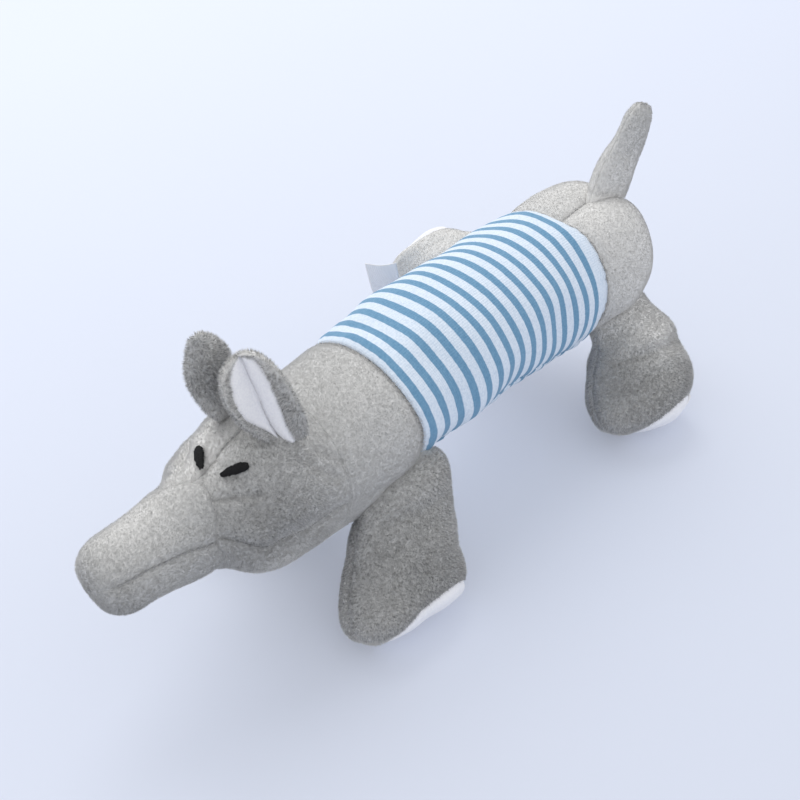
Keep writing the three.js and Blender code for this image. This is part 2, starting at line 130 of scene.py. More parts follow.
def spline(rows, t):
    """Points on a smooth curve through the rows. t counts rows."""
    rows = np.asarray(rows, float)
    ends = np.vstack([2 * rows[0] - rows[1], rows, 2 * rows[-1] - rows[-2]])
    t = np.clip(np.asarray(t, float), 0, len(rows) - 1)
    i = np.minimum(t.astype(int), len(rows) - 2)
    f = (t - i)[..., None]
    p0, p1, p2, p3 = (ends[i + k] for k in range(4))
    m1, m2 = (p2 - p0) / 2, (p3 - p1) / 2
    return (
        (2 * f**3 - 3 * f**2 + 1) * p1
        + (f**3 - 2 * f**2 + f) * m1
        + (3 * f**2 - 2 * f**3) * p2
        + (f**3 - f**2) * m2
    )


# Body from rump to trunk: middle x, middle height, half width, half height
BODY = [
    [-107.23, 56, 0, 0],
    [-107, 56, 4.5, 4.5],
    [-105, 56, 14, 14.5],
    [-100, 56.3, 21, 21.5],
    [-92, 56.5, 26.8, 26.6],
    [-80, 56.7, 29, 28.2],
    [-66, 57.2, 27.6, 27.6],
    [-40, 59.5, 27, 27],
    [-15, 61.5, 27, 27],
    [10, 61.5, 27, 26.4],
    [29, 59.7, 27.4, 26.4],
    [46, 57.6, 28, 27],
    [58, 56.5, 26.6, 26.3],
    [68, 56.2, 25.6, 26.6],
    [80, 58, 26.5, 28],
    [90, 57.6, 25.3, 26.5],
    [100, 57.6, 23, 21.8],
    [109, 59.3, 17.5, 17.4],
    [120, 60.1, 14.8, 15.4],
    [133, 62.2, 14, 14],
    [142, 63.2, 12.8, 12.6],
    [147.6, 63.6, 9.4, 9.2],
    [150.1, 63.7, 4, 3.9],
    [150.6, 63.7, 0, 0],
]
SLEEVE_REAR_X, SLEEVE_FRONT_X = -64, 33
SLEEVE_TILT, SLEEVE_TILT_AT = 2.4, math.radians(10)
NECK_X, TRUNK_X = 66, 110
# The seam over the chin, as places x and heights
CHIN_SEAM = [[60, 53], [72, 54.6], [92, 55.8], [99.4, 56.6], [105.4, 59.8], [112, 65.5]]
TRUNK_SLOPE = math.tan(math.radians(13))
TRUNK_Z = 63.4
# The seam at the trunk's root: angles round it, how far it runs forward there and over what spread
TRUNK_WAVES = [[88, -2.0, 22], [16, 2.5, 22], [126, 4.5, 24], [190, 1.5, 30]]
FOREHEAD_ANGLE = math.radians(95)

body_t = np.linspace(0, len(BODY) - 1, 4001)
body_table = spline(BODY, body_t)
body_x = np.maximum.accumulate(body_table[:, 0])
body_arc = np.concatenate(
    [[0], np.cumsum(np.hypot(np.diff(body_x), np.diff(body_table[:, 2])))]
)
# Slope of the middle line, smoothed, and level at both ends
body_slope = np.gradient(
    np.interp(body_x, body_x[::40], np.convolve(body_table[:, 1], np.ones(9) / 9, "same")[::40]),
    body_x + 1e-6 * np.arange(len(body_x)),
)
body_slope = np.convolve(np.clip(body_slope, -0.3, 0.3), np.ones(161) / 161, "same")
body_slope *= smooth(body_x, -106, -92) * (1 - smooth(body_x, 143, 149.5))


def t_of_x(x):
    return np.interp(x, body_x, body_t)


def sway(x):
    """How far the body's middle stands to the left."""
    return -1.4 * smooth(-x, -10, 60)


def body_point(t, angle):
    """A point of the body's skin. Its sections stand square to the middle line."""
    row = spline(BODY, t)
    slope = np.interp(t, body_t, body_slope)
    start, level = row[..., 0], row[..., 1]
    for _ in range(4):
        x = start - slope * (row[..., 1] + row[..., 3] * np.sin(angle) - level)
        row = spline(BODY, t_of_x(x))
    return np.stack(
        [x, row[..., 2] * np.cos(angle) + sway(x), row[..., 1] + row[..., 3] * np.sin(angle)], -1
    )


def inside_body(points, share):
    row = spline(BODY, t_of_x(points[..., 0]))
    across = (points[..., 1] - sway(points[..., 0])) / np.maximum(row[..., 2], 1e-3)
    upward = (points[..., 2] - row[..., 1]) / np.maximum(row[..., 3], 1e-3)
    return across**2 + upward**2 < share**2


def arc_of(t):
    return np.interp(t, body_t, body_arc)


def normals_of(grid, wrap):
    """Normals of a grid of points, by its slopes."""
    along = np.gradient(grid, axis=0)
    if wrap:
        round_it = (np.roll(grid, -1, 1) - np.roll(grid, 1, 1)) / 2
    else:
        round_it = np.gradient(grid, axis=1)
    found = np.cross(round_it, along)
    size = np.linalg.norm(found, axis=-1)
    for row, beside in ((0, 1), (-1, -2)):
        if size[row].max() < 1e-3 * size[beside].max():
            found[row] = found[beside].mean(0)
    return unit(found)


def normals_along(grid, out, wrap=False):
    """Normals of a grid, on the side that out points to."""
    found = normals_of(grid, wrap)
    return found * np.sign(np.mean(np.sum(found * out, -1)))


def arc_along(line):
    """How far along a line each of its points lies."""
    return np.concatenate([[0], np.cumsum(np.linalg.norm(np.diff(line, axis=0), axis=1))])


# Meshes


def mesh_object(name, points, faces, material, normals=None, attributes=None):
    mesh = bpy.data.meshes.new(name)
    points = np.ascontiguousarray(metres(points), np.float32)
    faces = np.ascontiguousarray(faces, np.int32)
    mesh.vertices.add(len(points))
    mesh.vertices.foreach_set("co", points.ravel())
    mesh.loops.add(faces.size)
    mesh.loops.foreach_set("vertex_index", faces.ravel())
    mesh.polygons.add(len(faces))
    mesh.polygons.foreach_set("loop_start", np.arange(len(faces), dtype=np.int32) * faces.shape[1])
    mesh.polygons.foreach_set("use_smooth", np.ones(len(faces), bool))
    for key, values in (attributes or {}).items():
        attribute = mesh.attributes.new(key, "FLOAT", "POINT")
        attribute.data.foreach_set("value", np.ascontiguousarray(values, np.float32).ravel())
    mesh.update(calc_edges=True)
    mesh.validate()
    if normals is not None:
        mesh.normals_split_custom_set_from_vertices(normals.astype(np.float32).tolist())
    mesh.materials.append(material)
    made = bpy.data.objects.new(name, mesh)
    bpy.context.scene.collection.objects.link(made)
    return made


def quads(rows, columns, wrap, start=0):
    """Corners of the faces of a grid."""
    i = np.arange(rows - 1)[:, None]
    j = np.arange(columns if wrap else columns - 1)[None, :]
    k = (j + 1) % columns
    corners = [i * columns + j, i * columns + k, (i + 1) * columns + k, (i + 1) * columns + j]
    return start + np.stack(np.broadcast_arrays(*corners), -1).reshape(-1, 4)


def shell(name, grid, normals, thickness, wrap, material, attributes=None):
    """A closed piece of cloth: its outer face, its inner face and the edges between."""
    rows, columns = grid.shape[:2]
    count = rows * columns
    inner = grid - normals * thickness
    faces = [quads(rows, columns, wrap), quads(rows, columns, wrap, count)[:, ::-1]]

    def edge(chain, closed):
        chain = np.asarray(chain)
        after = np.roll(chain, -1) if closed else chain[1:]
        before = chain if closed else chain[:-1]
        return np.stack([after, before, before + count, after + count], -1)

    number = np.arange(count).reshape(rows, columns)
    faces += [edge(number[0], wrap), edge(number[-1][::-1], wrap)]
    if not wrap:
        faces += [edge(number[:, 0][::-1], False), edge(number[:, -1], False)]
    faces = np.vstack(faces)
    flat = grid.reshape(-1, 3)
    first = flat[faces[0]]
    front = np.cross(first[1] - first[0], first[3] - first[0])
    if front @ normals.reshape(-1, 3)[faces[0][0]] < 0:
        faces = faces[:, ::-1]
    points = np.vstack([flat, inner.reshape(-1, 3)])
    twice = {key: np.concatenate([v.ravel(), v.ravel()]) for key, v in (attributes or {}).items()}
    made = mesh_object(name, points, faces, material, attributes=twice)
    weld(made)
    return made


def weld(made):
    """Joins the corners that meet at a pole."""
    work = bmesh.new()
    work.from_mesh(made.data)
    bmesh.ops.remove_doubles(work, verts=work.verts, dist=2e-6)
    bmesh.ops.dissolve_degenerate(work, edges=work.edges, dist=1e-7)
    work.to_mesh(made.data)
    work.free()


PILE_LENGTH, PILE_ROOT, PILE_SINK, PILE_DENSITY, PILE_QUICK = 0.85, 0.13, 0.3, 8.0, 0.45
SPIKE_CORNERS = (0, 2.0944, 4.1888)
# Rows of tufts, painted lighter on the tufts and darker in the gaps between them, as light and shade:
# distance along and across the cloth, strength of that painted shade, how far they wander and over what
# length
TUFT_ROW, TUFT_GAP, PAINTED_GAP_SHADE, TUFT_WANDER, WANDER_WAVE = 1.5, 1.8, 0.46, 1.3, 7.0
# How tufts, locks and broad strokes of the pile lean: over what length and how far
TUFT_LEAN, LOCK_LEAN, STROKE_LEAN = (3.2, 0.13), (5.5, 0.12), (24.0, 0.16)
# How much of that lean shades the pile, how far single tufts stray and how unlike their tones are
LEAN_SHADE, TUFT_SHADE, STRAY, SPOTS = 0.6, 0.4, 0.3, 0.15
TONE_LOW, TONE_SPAN = -0.6, 1.7
# What stays bare beside a seam, and how far everything stays off the floor
BARE, OFF_FLOOR = 0.05, 0.03


# Places where light, sheen and shade are painted into the plush, paler where it is lit and darker where it
# is shaded: middle, reach and how much
PAINTED_LIGHT_AND_SHADE = [
    ((-92, 0, 62), 40, 0.62),
    ((84.5, -13, 99), 11, -0.15),
    ((82, -2, 111), 10, 0.45),
    ((-56, -54, 44), 30, 0.4),
    ((99, -9, 80), 12, 0.65),
    ((44, 8, 72), 30, 0.24),
    ((27, 36, 22), 14, 0.3),
    ((128, -6, 80), 18, 0.38),
    ((146, 8, 58), 10, -0.25),
    ((92, 17, 40), 13, 0.45),
    ((96, 24, 60), 17, -0.34),
    ((48, 40, 16), 26, -0.3),
    ((-79, 42, 16), 20, -0.35),
    ((-87, 38, 42), 13, 0.5),
    ((-61, 38, 34), 12, -0.2),
    ((-63, 27, 49), 5, -0.5),
]


def tone_with_painted_light(points):
    """How pale the plush is painted, from 0 to 1, with light, sheen and shade painted in at the places
    above.
    """
    tone = np.full(points.shape[:-1], 0.5)
    for middle, reach, change in PAINTED_LIGHT_AND_SHADE:
        tone += change * bell(np.linalg.norm(points - np.array(middle, float), axis=-1), reach)
    return tone


def at_each(value, points):
    """A number or a rule, as a column with a row for each point."""
    return value(points)[:, None] if callable(value) else np.full((len(points), 1), value)


def pile(name, grid, normals, material, seed, rough=1.0, length=PILE_LENGTH, wrap=False, keep=None,
         nap=(0, 0, 0), margins=(0, 0, 0, 0), speckle=None):
    """Short plush: a spike for each tuft, set at random over a grid.

    Margins leave the first row, the last row, the first column and the last column bare, in millimetres.
    """
    rng = np.random.default_rng(seed)
    rows, columns = grid.shape[:2]
    faces = quads(rows, columns, wrap)
    flat, flat_normals = grid.reshape(-1, 3), normals.reshape(-1, 3)
    corner = flat[faces]
    area = np.cross(corner[:, 2] - corner[:, 0], corner[:, 3] - corner[:, 1])
    area = np.linalg.norm(area, axis=1) / 2
    count = int(area.sum() * PILE_DENSITY * (1))
    which = np.searchsorted(np.cumsum(area), rng.uniform(0, area.sum(), count))
    which = np.minimum(which, len(faces) - 1)
    u, v = rng.uniform(size=(2, count, 1))
    weights = [(1 - u) * (1 - v), u * (1 - v), u * v, (1 - u) * v]
    root = sum(w * flat[faces[which, k]] for k, w in enumerate(weights))
    out = unit(sum(w * flat_normals[faces[which, k]] for k, w in enumerate(weights)))
    stays = np.ones(count, bool)
    wide = columns if wrap else columns - 1
    row, column = which // wide, which % wide
    high = np.linalg.norm(corner[which, 3] - corner[which, 0], axis=1)
    broad = np.linalg.norm(corner[which, 1] - corner[which, 0], axis=1)
    for edge, far, size, bare in (
        (row, v[:, 0], high, margins[0]),
        (rows - 2 - row, 1 - v[:, 0], high, margins[1]),
        (column, u[:, 0], broad, margins[2]),
        (wide - 1 - column, 1 - u[:, 0], broad, margins[3]),
    ):
        if bare:
            stays &= (edge + far) * size > bare
    if keep is not None:
        stays &= keep(root)
    down, over = ((row + v[:, 0]) * high)[stays], ((column + u[:, 0]) * broad)[stays]
    root, out = root[stays], out[stays]
    count = len(root)
    speckle = at_each(rough if speckle is None else speckle, root)[:, 0]
    rough, length = at_each(rough, root), at_each(length, root)
    wander = TUFT_WANDER * waves(root, WANDER_WAVE, seed + 10)
    # Rows of tufts and the gaps between them, painted below as light and shade
    gap_shade_rows = np.sin(2 * np.pi * down / TUFT_ROW + wander)
    gap_shade_rows *= np.sin(2 * np.pi * over / TUFT_GAP - wander)

    def lean_of(first, wavelength, amount):
        return np.stack([waves(root, wavelength, seed + first + k) for k in range(3)], -1) * amount

    tufts = lean_of(1, *TUFT_LEAN) * rough
    lean = lean_of(4, *LOCK_LEAN) * rough + lean_of(7, *STROKE_LEAN) + np.asarray(nap, float)
    shade = unit(out + LEAN_SHADE * lean + TUFT_SHADE * tufts)
    lean += tufts
    lean -= out * np.sum(lean * out, -1, keepdims=True)
    way = unit(out + lean + rng.normal(scale=STRAY, size=(count, 3)))
    tip = root + way * length * rng.uniform(0.7, 1.15, (count, 1))
    side = unit(np.cross(way, unit(rng.normal(size=(count, 3)))))
    other = np.cross(way, side)
    width = PILE_ROOT * rng.uniform(0.8, 1.25, (count, 1))
    low = root - out * PILE_SINK
    base = [low + width * (math.cos(a) * side + math.sin(a) * other) for a in SPIKE_CORNERS]
    points = above_floor(np.stack([*base, tip], 1).reshape(-1, 3))
    first = np.arange(count)[:, None, None] * 4
    faces = (first + np.array([[0, 1, 3], [1, 2, 3], [2, 0, 3]])[None]).reshape(-1, 3)
    # Random tone of single tufts, plus painted light on the rows of tufts and painted shade in their gaps
    spots = speckle * (SPOTS * rng.normal(size=count) + PAINTED_GAP_SHADE * speckle * gap_shade_rows)
    tone = np.clip(tone_with_painted_light(root) + spots, TONE_LOW, TONE_LOW + TONE_SPAN)
    # reach runs from a spike's root to its tip; the pile's material paints shade at the roots with it
    extra = {"reach": np.tile([0.0, 0.0, 0.0, 1.0], count), "tone": np.repeat(tone, 4)}
    return mesh_object(name, points, faces, material, np.repeat(shade, 4, 0), extra)


def above_floor(points):
    points[..., 2] = np.maximum(points[..., 2], OFF_FLOOR)
    return points


# Materials


class Nodes:
    """A short way to wire a material."""

    def __init__(self, name):
        self.material = bpy.data.materials.new(name)
        self.material.use_nodes = True
        self.tree = self.material.node_tree
        self.shader = self.tree.nodes["Principled BSDF"]
        self.places = None

    def add(self, kind, **values):
        node = self.tree.nodes.new(kind)
        for key, value in values.items():
            if key in node.inputs:
                node.inputs[key].default_value = value
            else:
                setattr(node, key, value)
        return node

    def feed(self, value, socket):
        """Links another node's output to a socket, or sets a number or a colour there."""
        if isinstance(value, bpy.types.NodeSocket):
            self.tree.links.new(value, socket)
        else:
            socket.default_value = (*value, 1) if isinstance(value, tuple) else value

    def where(self):
        if self.places is None:
            self.places = self.add("ShaderNodeTexCoord")
        return self.places.outputs["Object"]

    def noise(self, scale, detail=3.0):
        node = self.add("ShaderNodeTexNoise", Scale=scale, Detail=detail, Roughness=0.55)
        self.feed(self.where(), node.inputs["Vector"])
        return node.outputs["Fac"]

    def ramp(self, value, stops):
        node = self.add("ShaderNodeValToRGB")
        while len(node.color_ramp.elements) < len(stops):
            node.color_ramp.elements.new(0.5)
        for element, (place, colour) in zip(node.color_ramp.elements, stops):
            element.position = place
            element.color = (*colour, 1)
        self.feed(value, node.inputs["Fac"])
        return node.outputs["Color"]

    def mix(self, share, first, second):
        node = self.add("ShaderNodeMix", data_type="RGBA")
        for value, place in ((share, 0), (first, 6), (second, 7)):
            self.feed(value, node.inputs[place])
        return node.outputs[2]

    def math(self, operation, first, second=0.0):
        node = self.add("ShaderNodeMath", operation=operation)
        self.feed(first, node.inputs[0])
        self.feed(second, node.inputs[1])
        return node.outputs[0]

    def plus(self, first, second):
        return self.math("ADD", first, second)

    def times(self, first, second):
        return self.math("MULTIPLY", first, second)

    def about(self, value, gain, middle=0.5):
        """A value counted from a middle, times a gain."""
        return self.times(self.math("SUBTRACT", value, middle), gain)

    def attribute(self, name):
        return self.add("ShaderNodeAttribute", attribute_name=name).outputs["Fac"]

    def bump(self, height, strength, distance):
        node = self.add("ShaderNodeBump", Strength=strength, Distance=distance)
        self.feed(height, node.inputs["Height"])
        self.feed(node.outputs["Normal"], self.shader.inputs["Normal"])

    def finish(self, colour, roughness, sheen=0.0, sheen_rough=0.5, specular=0.2):
        for value, name in (
            (colour, "Base Color"),
            (roughness, "Roughness"),
            (sheen, "Sheen Weight"),
            (sheen_rough, "Sheen Roughness"),
            (specular, "Specular IOR Level"),
        ):
            self.feed(value, self.shader.inputs[name])
        return self.material


def linear(*levels):
    """A screen colour of 0 to 255 as light."""
    shares = (level / 255 for level in levels)
    return tuple(((x + 0.055) / 1.055) ** 2.4 if x > 10 / 255 else x / 12.92 for x in shares)


# Tones of the plush, painted light and shade included, and the greys that they stand for
PLUSH_TONES = [
    ((tone - TONE_LOW) / TONE_SPAN, grey)
    for tone, grey in (
        (TONE_LOW, linear(88, 88, 88)),
        (0.1, linear(156, 156, 156)),
        (0.5, linear(196, 196, 195)),
        (1.0, linear(238, 237, 235)),
    )
]


def plush_colour(n, value):
    share = n.math("DIVIDE", n.math("SUBTRACT", value, TONE_LOW), TONE_SPAN)
    return n.ramp(share, PLUSH_TONES)


def plush_ground():
    n = Nodes("plush_ground")
    spots = n.noise(900, 2.0)
    # The tone attribute carries painted light, sheen and shade
    colour = plush_colour(n, n.plus(n.attribute("tone"), n.about(spots, 0.6, 0.65)))
    n.bump(spots, strength=0.5, distance=0.0005)
    return n.finish(colour, roughness=0.95, sheen=0.5, sheen_rough=0.4, specular=0.1)


def plush_pile():
    n = Nodes("plush_pile")
    spots, broad = n.about(n.noise(1100, 2.0), 0.22), n.about(n.noise(70), 0.25)
    value = n.plus(n.plus(n.attribute("tone"), spots), broad)
    # Painted shade: each spike is darker at its root and paler towards its tip
    colour = plush_colour(n, n.plus(value, n.times(n.attribute("reach"), 0.12)))
    return n.finish(colour, roughness=0.9, sheen=0.9, sheen_rough=0.3, specular=0.1)


# Stripes of the knit: repeat, place of the first one, blue share and softness of an edge;
# then the distance of its wales and rows
STRIPE_REPEAT, STRIPE_START, STRIPE_SHARE, STRIPE_SOFT = 6.19, -57.6, 0.45, 0.03
KNIT_WALE, KNIT_ROW = 0.9, 0.7
BLUE = linear(122, 164, 195)
BLUE_DARK = linear(104, 149, 183)
KNIT_WHITE = linear(226, 237, 250)
KNIT_SHADE = linear(206, 221, 238)


def striped_knit():
    n = Nodes("striped_knit")
    along = n.attribute("along")
    wobble = n.about(n.noise(120), 0.5)
    place = n.math("SUBTRACT", n.plus(along, wobble), STRIPE_START)
    part = n.math("FRACT", n.plus(n.math("DIVIDE", place, STRIPE_REPEAT), 20.5))
    # Distance from the middle of a stripe, as a share of the repeat
    off = n.math("ABSOLUTE", n.math("SUBTRACT", part, 0.5))
    off = n.plus(off, n.about(n.noise(1500, 2.0), 0.05))
    node = n.add("ShaderNodeMapRange", interpolation_type="SMOOTHSTEP")
    n.feed(off, node.inputs["Value"])
    n.feed(STRIPE_SHARE / 2 - STRIPE_SOFT, node.inputs["From Min"])
    n.feed(STRIPE_SHARE / 2 + STRIPE_SOFT, node.inputs["From Max"])
    blue = n.ramp(n.noise(1100), [(0.3, BLUE_DARK), (0.7, BLUE)])
    white = n.ramp(n.noise(1100), [(0.25, KNIT_SHADE), (0.6, KNIT_WHITE)])
    before = n.math("LESS_THAN", place, -STRIPE_REPEAT / 2)
    colour = n.mix(n.math("MAXIMUM", node.outputs["Result"], before), blue, white)
    wales = n.math("SINE", n.times(n.attribute("round"), 2 * math.pi / KNIT_WALE))
    rows = n.math("SINE", n.times(along, 2 * math.pi / KNIT_ROW))
    height = n.plus(n.times(wales, 0.5), n.times(rows, 0.4))
    height = n.plus(height, n.times(n.noise(1800, 2.0), 0.8))
    n.bump(height, strength=0.35, distance=0.0002)
    return n.finish(colour, roughness=0.85, sheen=0.15, specular=0.15)


def white_cloth():
    n = Nodes("white_cloth")
    fine = n.noise(1400)
    colour = n.ramp(fine, [(0.3, linear(240, 240, 245)), (0.65, linear(251, 251, 253))])
    colour = n.mix(n.times(n.noise(90), 0.25), colour, linear(238, 239, 246))
    n.bump(fine, strength=0.3, distance=0.0003)
    return n.finish(colour, roughness=0.9, sheen=0.2, specular=0.12)


def thread(name, scale, dark, pale, roughness, sheen):
    n = Nodes(name)
    fine = n.noise(scale, 2.0)
    colour = n.ramp(fine, [(0.3, linear(*dark)), (0.7, linear(*pale))])
    n.bump(fine, strength=0.3, distance=0.0001)
    return n.finish(colour, roughness, sheen)


def label_ribbon():
    n = Nodes("label_ribbon")
    weave = n.add("ShaderNodeTexWave", Scale=900.0, Distortion=0.4)
    n.feed(n.where(), weave.inputs["Vector"])
    weave = weave.outputs["Fac"]
    colour = n.ramp(weave, [(0.2, linear(243, 243, 246)), (0.8, linear(250, 250, 252))])
    n.bump(weave, strength=0.25, distance=0.0001)
    return n.finish(colour, roughness=0.6, sheen=0.1, specular=0.3)


def moulded_plastic(name, shade):
    n = Nodes(name)
    haze = n.noise(180)
    colour = n.ramp(haze, [(0.3, tuple(c * 0.9 for c in shade)), (0.7, shade)])
    n.bump(n.noise(1200, 2.0), strength=0.12, distance=0.0001)
    return n.finish(colour, n.plus(n.times(haze, 0.2), 0.35), specular=0.4)


GROUND, PILE = plush_ground(), plush_pile()
KNIT, WHITE, RIBBON = striped_knit(), white_cloth(), label_ribbon()
THREAD = thread("black_thread", 2500, (10, 10, 11), (30, 30, 32), 0.55, 0.0)
GREY_THREAD = thread("grey_thread", 2200, (150, 150, 152), (182, 182, 183), 0.7, 0.1)

# Body panels: spacing of corners, how far plush and knit lie below the plain form, thickness of both cloths
STEP = 1.25
PLUSH_DEEP, SLEEVE_DEEP = 0.9, 0.2
CLOTH, KNIT_CLOTH = 1.2, 0.9
QUARTER = np.pi / 2

sleeve_rear_t = float(t_of_x(SLEEVE_REAR_X))
sleeve_front_t = float(t_of_x(SLEEVE_FRONT_X))
neck_t = float(t_of_x(NECK_X))
last_t = len(BODY) - 1.0


def rear_seam(angle):
    """Where the sleeve's rear edge runs. It stands further back on the left."""
    return t_of_x(SLEEVE_REAR_X - SLEEVE_TILT * np.cos(angle - SLEEVE_TILT_AT))


def chin_angle(t):
    row = spline(BODY, t)
    level = np.interp(row[..., 0], *np.transpose(CHIN_SEAM))
    return np.arcsin(np.clip((level - row[..., 1]) / np.maximum(row[..., 3], 1e-3), -0.9, 0.5))


def trunk_seam(angle):
    """Where the trunk is sewn to the head, at an angle round it."""
    x = TRUNK_X + 0 * angle
    for place, forward, spread in TRUNK_WAVES:
        x = x + forward * bell(angle_gap(angle, math.radians(place)), math.radians(spread))
    return t_of_x(x)


def trunk_angle(t):
    row = spline(BODY, t)
    level = TRUNK_Z + TRUNK_SLOPE * (row[..., 0] - TRUNK_X)
    return np.arcsin(np.clip((level - row[..., 1]) / np.maximum(row[..., 3], 1e-3), -0.2, 0.5))


def fixed_at(value):
    return lambda other: np.full(np.shape(other), float(value))


def panel_grid(first, last, low, high, wrap):
    """Places (t, angle) over a panel of the body, about STEP apart, between its four edges."""
    ends = float(first(np.pi)), float(last(np.pi))
    rows = max(3, round((arc_of(ends[1]) - arc_of(ends[0])) / STEP) + 1)
    between = np.linspace(*ends, 60)
    span = np.max((high(between) - low(between)) * spline(BODY, between)[:, 2])
    columns = max(4, round(span / STEP))
    down = np.linspace(0, 1, rows)[:, None]
    share = (np.arange(columns) / (columns if wrap else columns - 1))[None]
    angle = np.full((rows, columns), np.pi)
    for _ in range(4):
        start, end = arc_of(first(angle)), arc_of(last(angle))
        t = np.interp(start + (end - start) * down, body_arc, body_t)
        angle = low(t) + (high(t) - low(t)) * share
    return t, angle


def angle_gap(angle, seam):
    return np.abs((angle - seam + np.pi) % (2 * np.pi) - np.pi)


# Places of the neck's folds and of a tuck in the cheek: from and to, depth and width
TUCKS = [
    ((77.5, 18.6, 77.4), (69.5, 23.6, 67.0), 1.3, 2.2),
    ((71.5, 17.5, 77.0), (66.5, 21.5, 70.5), 0.8, 1.8),
    ((105.8, 8.9, 75.4), (96.1, 16.8, 74.6), 0.9, 1.6),
    ((105.8, -8.9, 75.4), (96.1, -16.8, 74.6), 0.9, 1.6),
    ((76.5, -19, 77.0), (69.0, -23.8, 67.0), 1.2, 2.2),
    ((40, 25.5, 47.0), (54, 26.5, 50.5), 1.0, 2.6),
    ((40, -25.5, 47.0), (54, -26.5, 50.5), 1.0, 2.6),
]


def line_gap(points, start, end):
    """How far points are from a line between two ends."""
    start, end = np.asarray(start, float), np.asarray(end, float)
    way = end - start
    share = np.clip((points - start) @ way / (way @ way), 0, 1)
    return np.linalg.norm(points - start - share[..., None] * way, axis=-1)


# Grooves that the seams draw in: depth and width of each
GROOVES = {
    "sleeve_rear": [(1.5, 2.6)],
    "sleeve_front": [(1.1, 2.2)],
    "sleeve_seam": [(0.9, 1.2), (0.7, 4.5)],
    "trunk_root": [(0.9, 3.0)],
    "trunk_side": [(0.6, 1.6)],
    "rump_top": [(1.4, 1.8), (2.8, 8.5)],
    "rump_under": [(1.5, 3.0)],
    "brow": [(0.8, 1.3), (0.5, 4.0)],
    "cheek": [(0.7, 1.4), (0.6, 4.0)],
    "leg_side": [(0.8, 1.3), (0.4, 4.0)],
    "leg_sole": [(0.7, 0.8)],
    "tail_side": [(0.3, 1.6)],
}
# Unevenness of the filling: height, length and seed of its waves
ROLLING = {
    "body": [(0.5, 46, 11), (0.25, 21, 12)],
    "leg": [(0.45, 34, 31), (0.25, 17, 41)],
    "tail": [(0.3, 18, 51)],
}
# Where seams along the body start and end, as places x
BROW_SPAN = ((80, 88), (103, 108))
CHEEK_SPAN = ((62, 72), (109, 112))
TRUNK_SPAN = ((110, 114), (146, 149.5))
RUMP_END, RUMP_POLE, POLE_SHARE = (-70, -62), (3, 18), 0.2


def groove(kind, gap):
    return sum(deep * bell(gap, wide) for deep, wide in GROOVES[kind])


def rolling(kind, points, shift=0):
    return sum(high * waves(points, wide, seed + shift) for high, wide, seed in ROLLING[kind])


def body_relief(t, angle, points, sleeve):
    """How far the sewn and stuffed skin stands off the plain body, in millimetres."""
    arc, x = arc_of(t), points[..., 0]
    radius = np.maximum(spline(BODY, t)[..., 2], 1)

    def gap(seam):
        return angle_gap(angle, seam) * radius

    def within(rise, fall):
        return smooth(x, *rise) * (1 - smooth(x, *fall))

    out = rolling("body", points) - (SLEEVE_DEEP if sleeve else PLUSH_DEEP)
    out = out + stuffed(body_stuffing, arc, angle)
    out -= groove("sleeve_rear", arc - arc_of(rear_seam(angle)))
    out -= groove("sleeve_front", arc - arc_of(sleeve_front_t))
    out -= groove("trunk_root", arc - arc_of(trunk_seam(angle)))
    # The seam down the middle of the rump draws it into two lobes
    rump = POLE_SHARE + (1 - POLE_SHARE) * smooth(radius, *RUMP_POLE)
    rump = rump * (1 - smooth(x, *RUMP_END))
    out -= rump * (groove("rump_top", gap(QUARTER)) + groove("rump_under", gap(-QUARTER)))
    out -= within(*BROW_SPAN) * groove("brow", gap(FOREHEAD_ANGLE))
    for kind, span, edge in (
        ("cheek", CHEEK_SPAN, chin_angle(t)),
        ("trunk_side", TRUNK_SPAN, trunk_angle(t)),
    ):
        for seam in (edge, np.pi - edge):
            out -= within(*span) * groove(kind, gap(seam))
    for start, end, deep, wide in TUCKS:
        out -= deep * bell(line_gap(points, start, end), wide)
    if sleeve:
        out += sleeve_gathers(arc, angle, gap(SLEEVE_SEAM))
    return out


# The seam that closes the sleeve, and how high and how far puckers run from its ends and along it
SLEEVE_SEAM = math.radians(-34)
GATHER_HIGH, GATHER_REACH = 0.28, 5
PUCKER_HIGH, PUCKER_REACH = 0.55, 4.5


def sleeve_gathers(arc, angle, edge):
    """Small puckers at the sleeve's two ends and along the seam that closes it."""
    rear, front = arc_of(rear_seam(angle)), arc_of(sleeve_front_t)
    ripple = np.sin(angle * 27 + 1.5 * np.sin(angle * 5)) * 0.5 + np.sin(angle * 41 + 2) * 0.3
    near = np.exp((rear - arc) / GATHER_REACH) + np.exp((arc - front) / GATHER_REACH)
    along = np.sin(arc * 1.02 + 1.3 * np.sin(arc * 0.21)) + 0.6 * np.sin(arc * 0.57 + 1)
    pucker = PUCKER_HIGH * along * np.exp(-edge / PUCKER_REACH)
    return GATHER_HIGH * ripple * near - groove("sleeve_seam", edge) + pucker


def body_middle(t, points):
    """The body's middle line beside points on it."""
    return np.stack([points[..., 0], sway(points[..., 0]), spline(BODY, t)[..., 1]], -1)


def body_skin(t, angle, sleeve=False):
    """Points on the body's sewn skin, and the way out from the plain body there."""
    step = 1e-3
    plain = body_point(t, angle)
    round_it = body_point(t, angle + step) - body_point(t, angle - step)
    after, before = np.minimum(t + step, last_t), np.maximum(t - step, 0)
    out = np.cross(round_it, body_point(after, angle) - body_point(before, angle))
    ends = np.linalg.norm(out, axis=-1) < 1e-9
    out[ends] = np.where(t[ends][:, None] < 1, -AHEAD, AHEAD)
    sign = np.sign(np.sum(out * (plain - body_middle(t, plain)), -1))
    out = unit(out) * np.where(ends, 1, sign)[..., None]
    return plain + out * body_relief(t, angle, plain, sleeve)[..., None], out


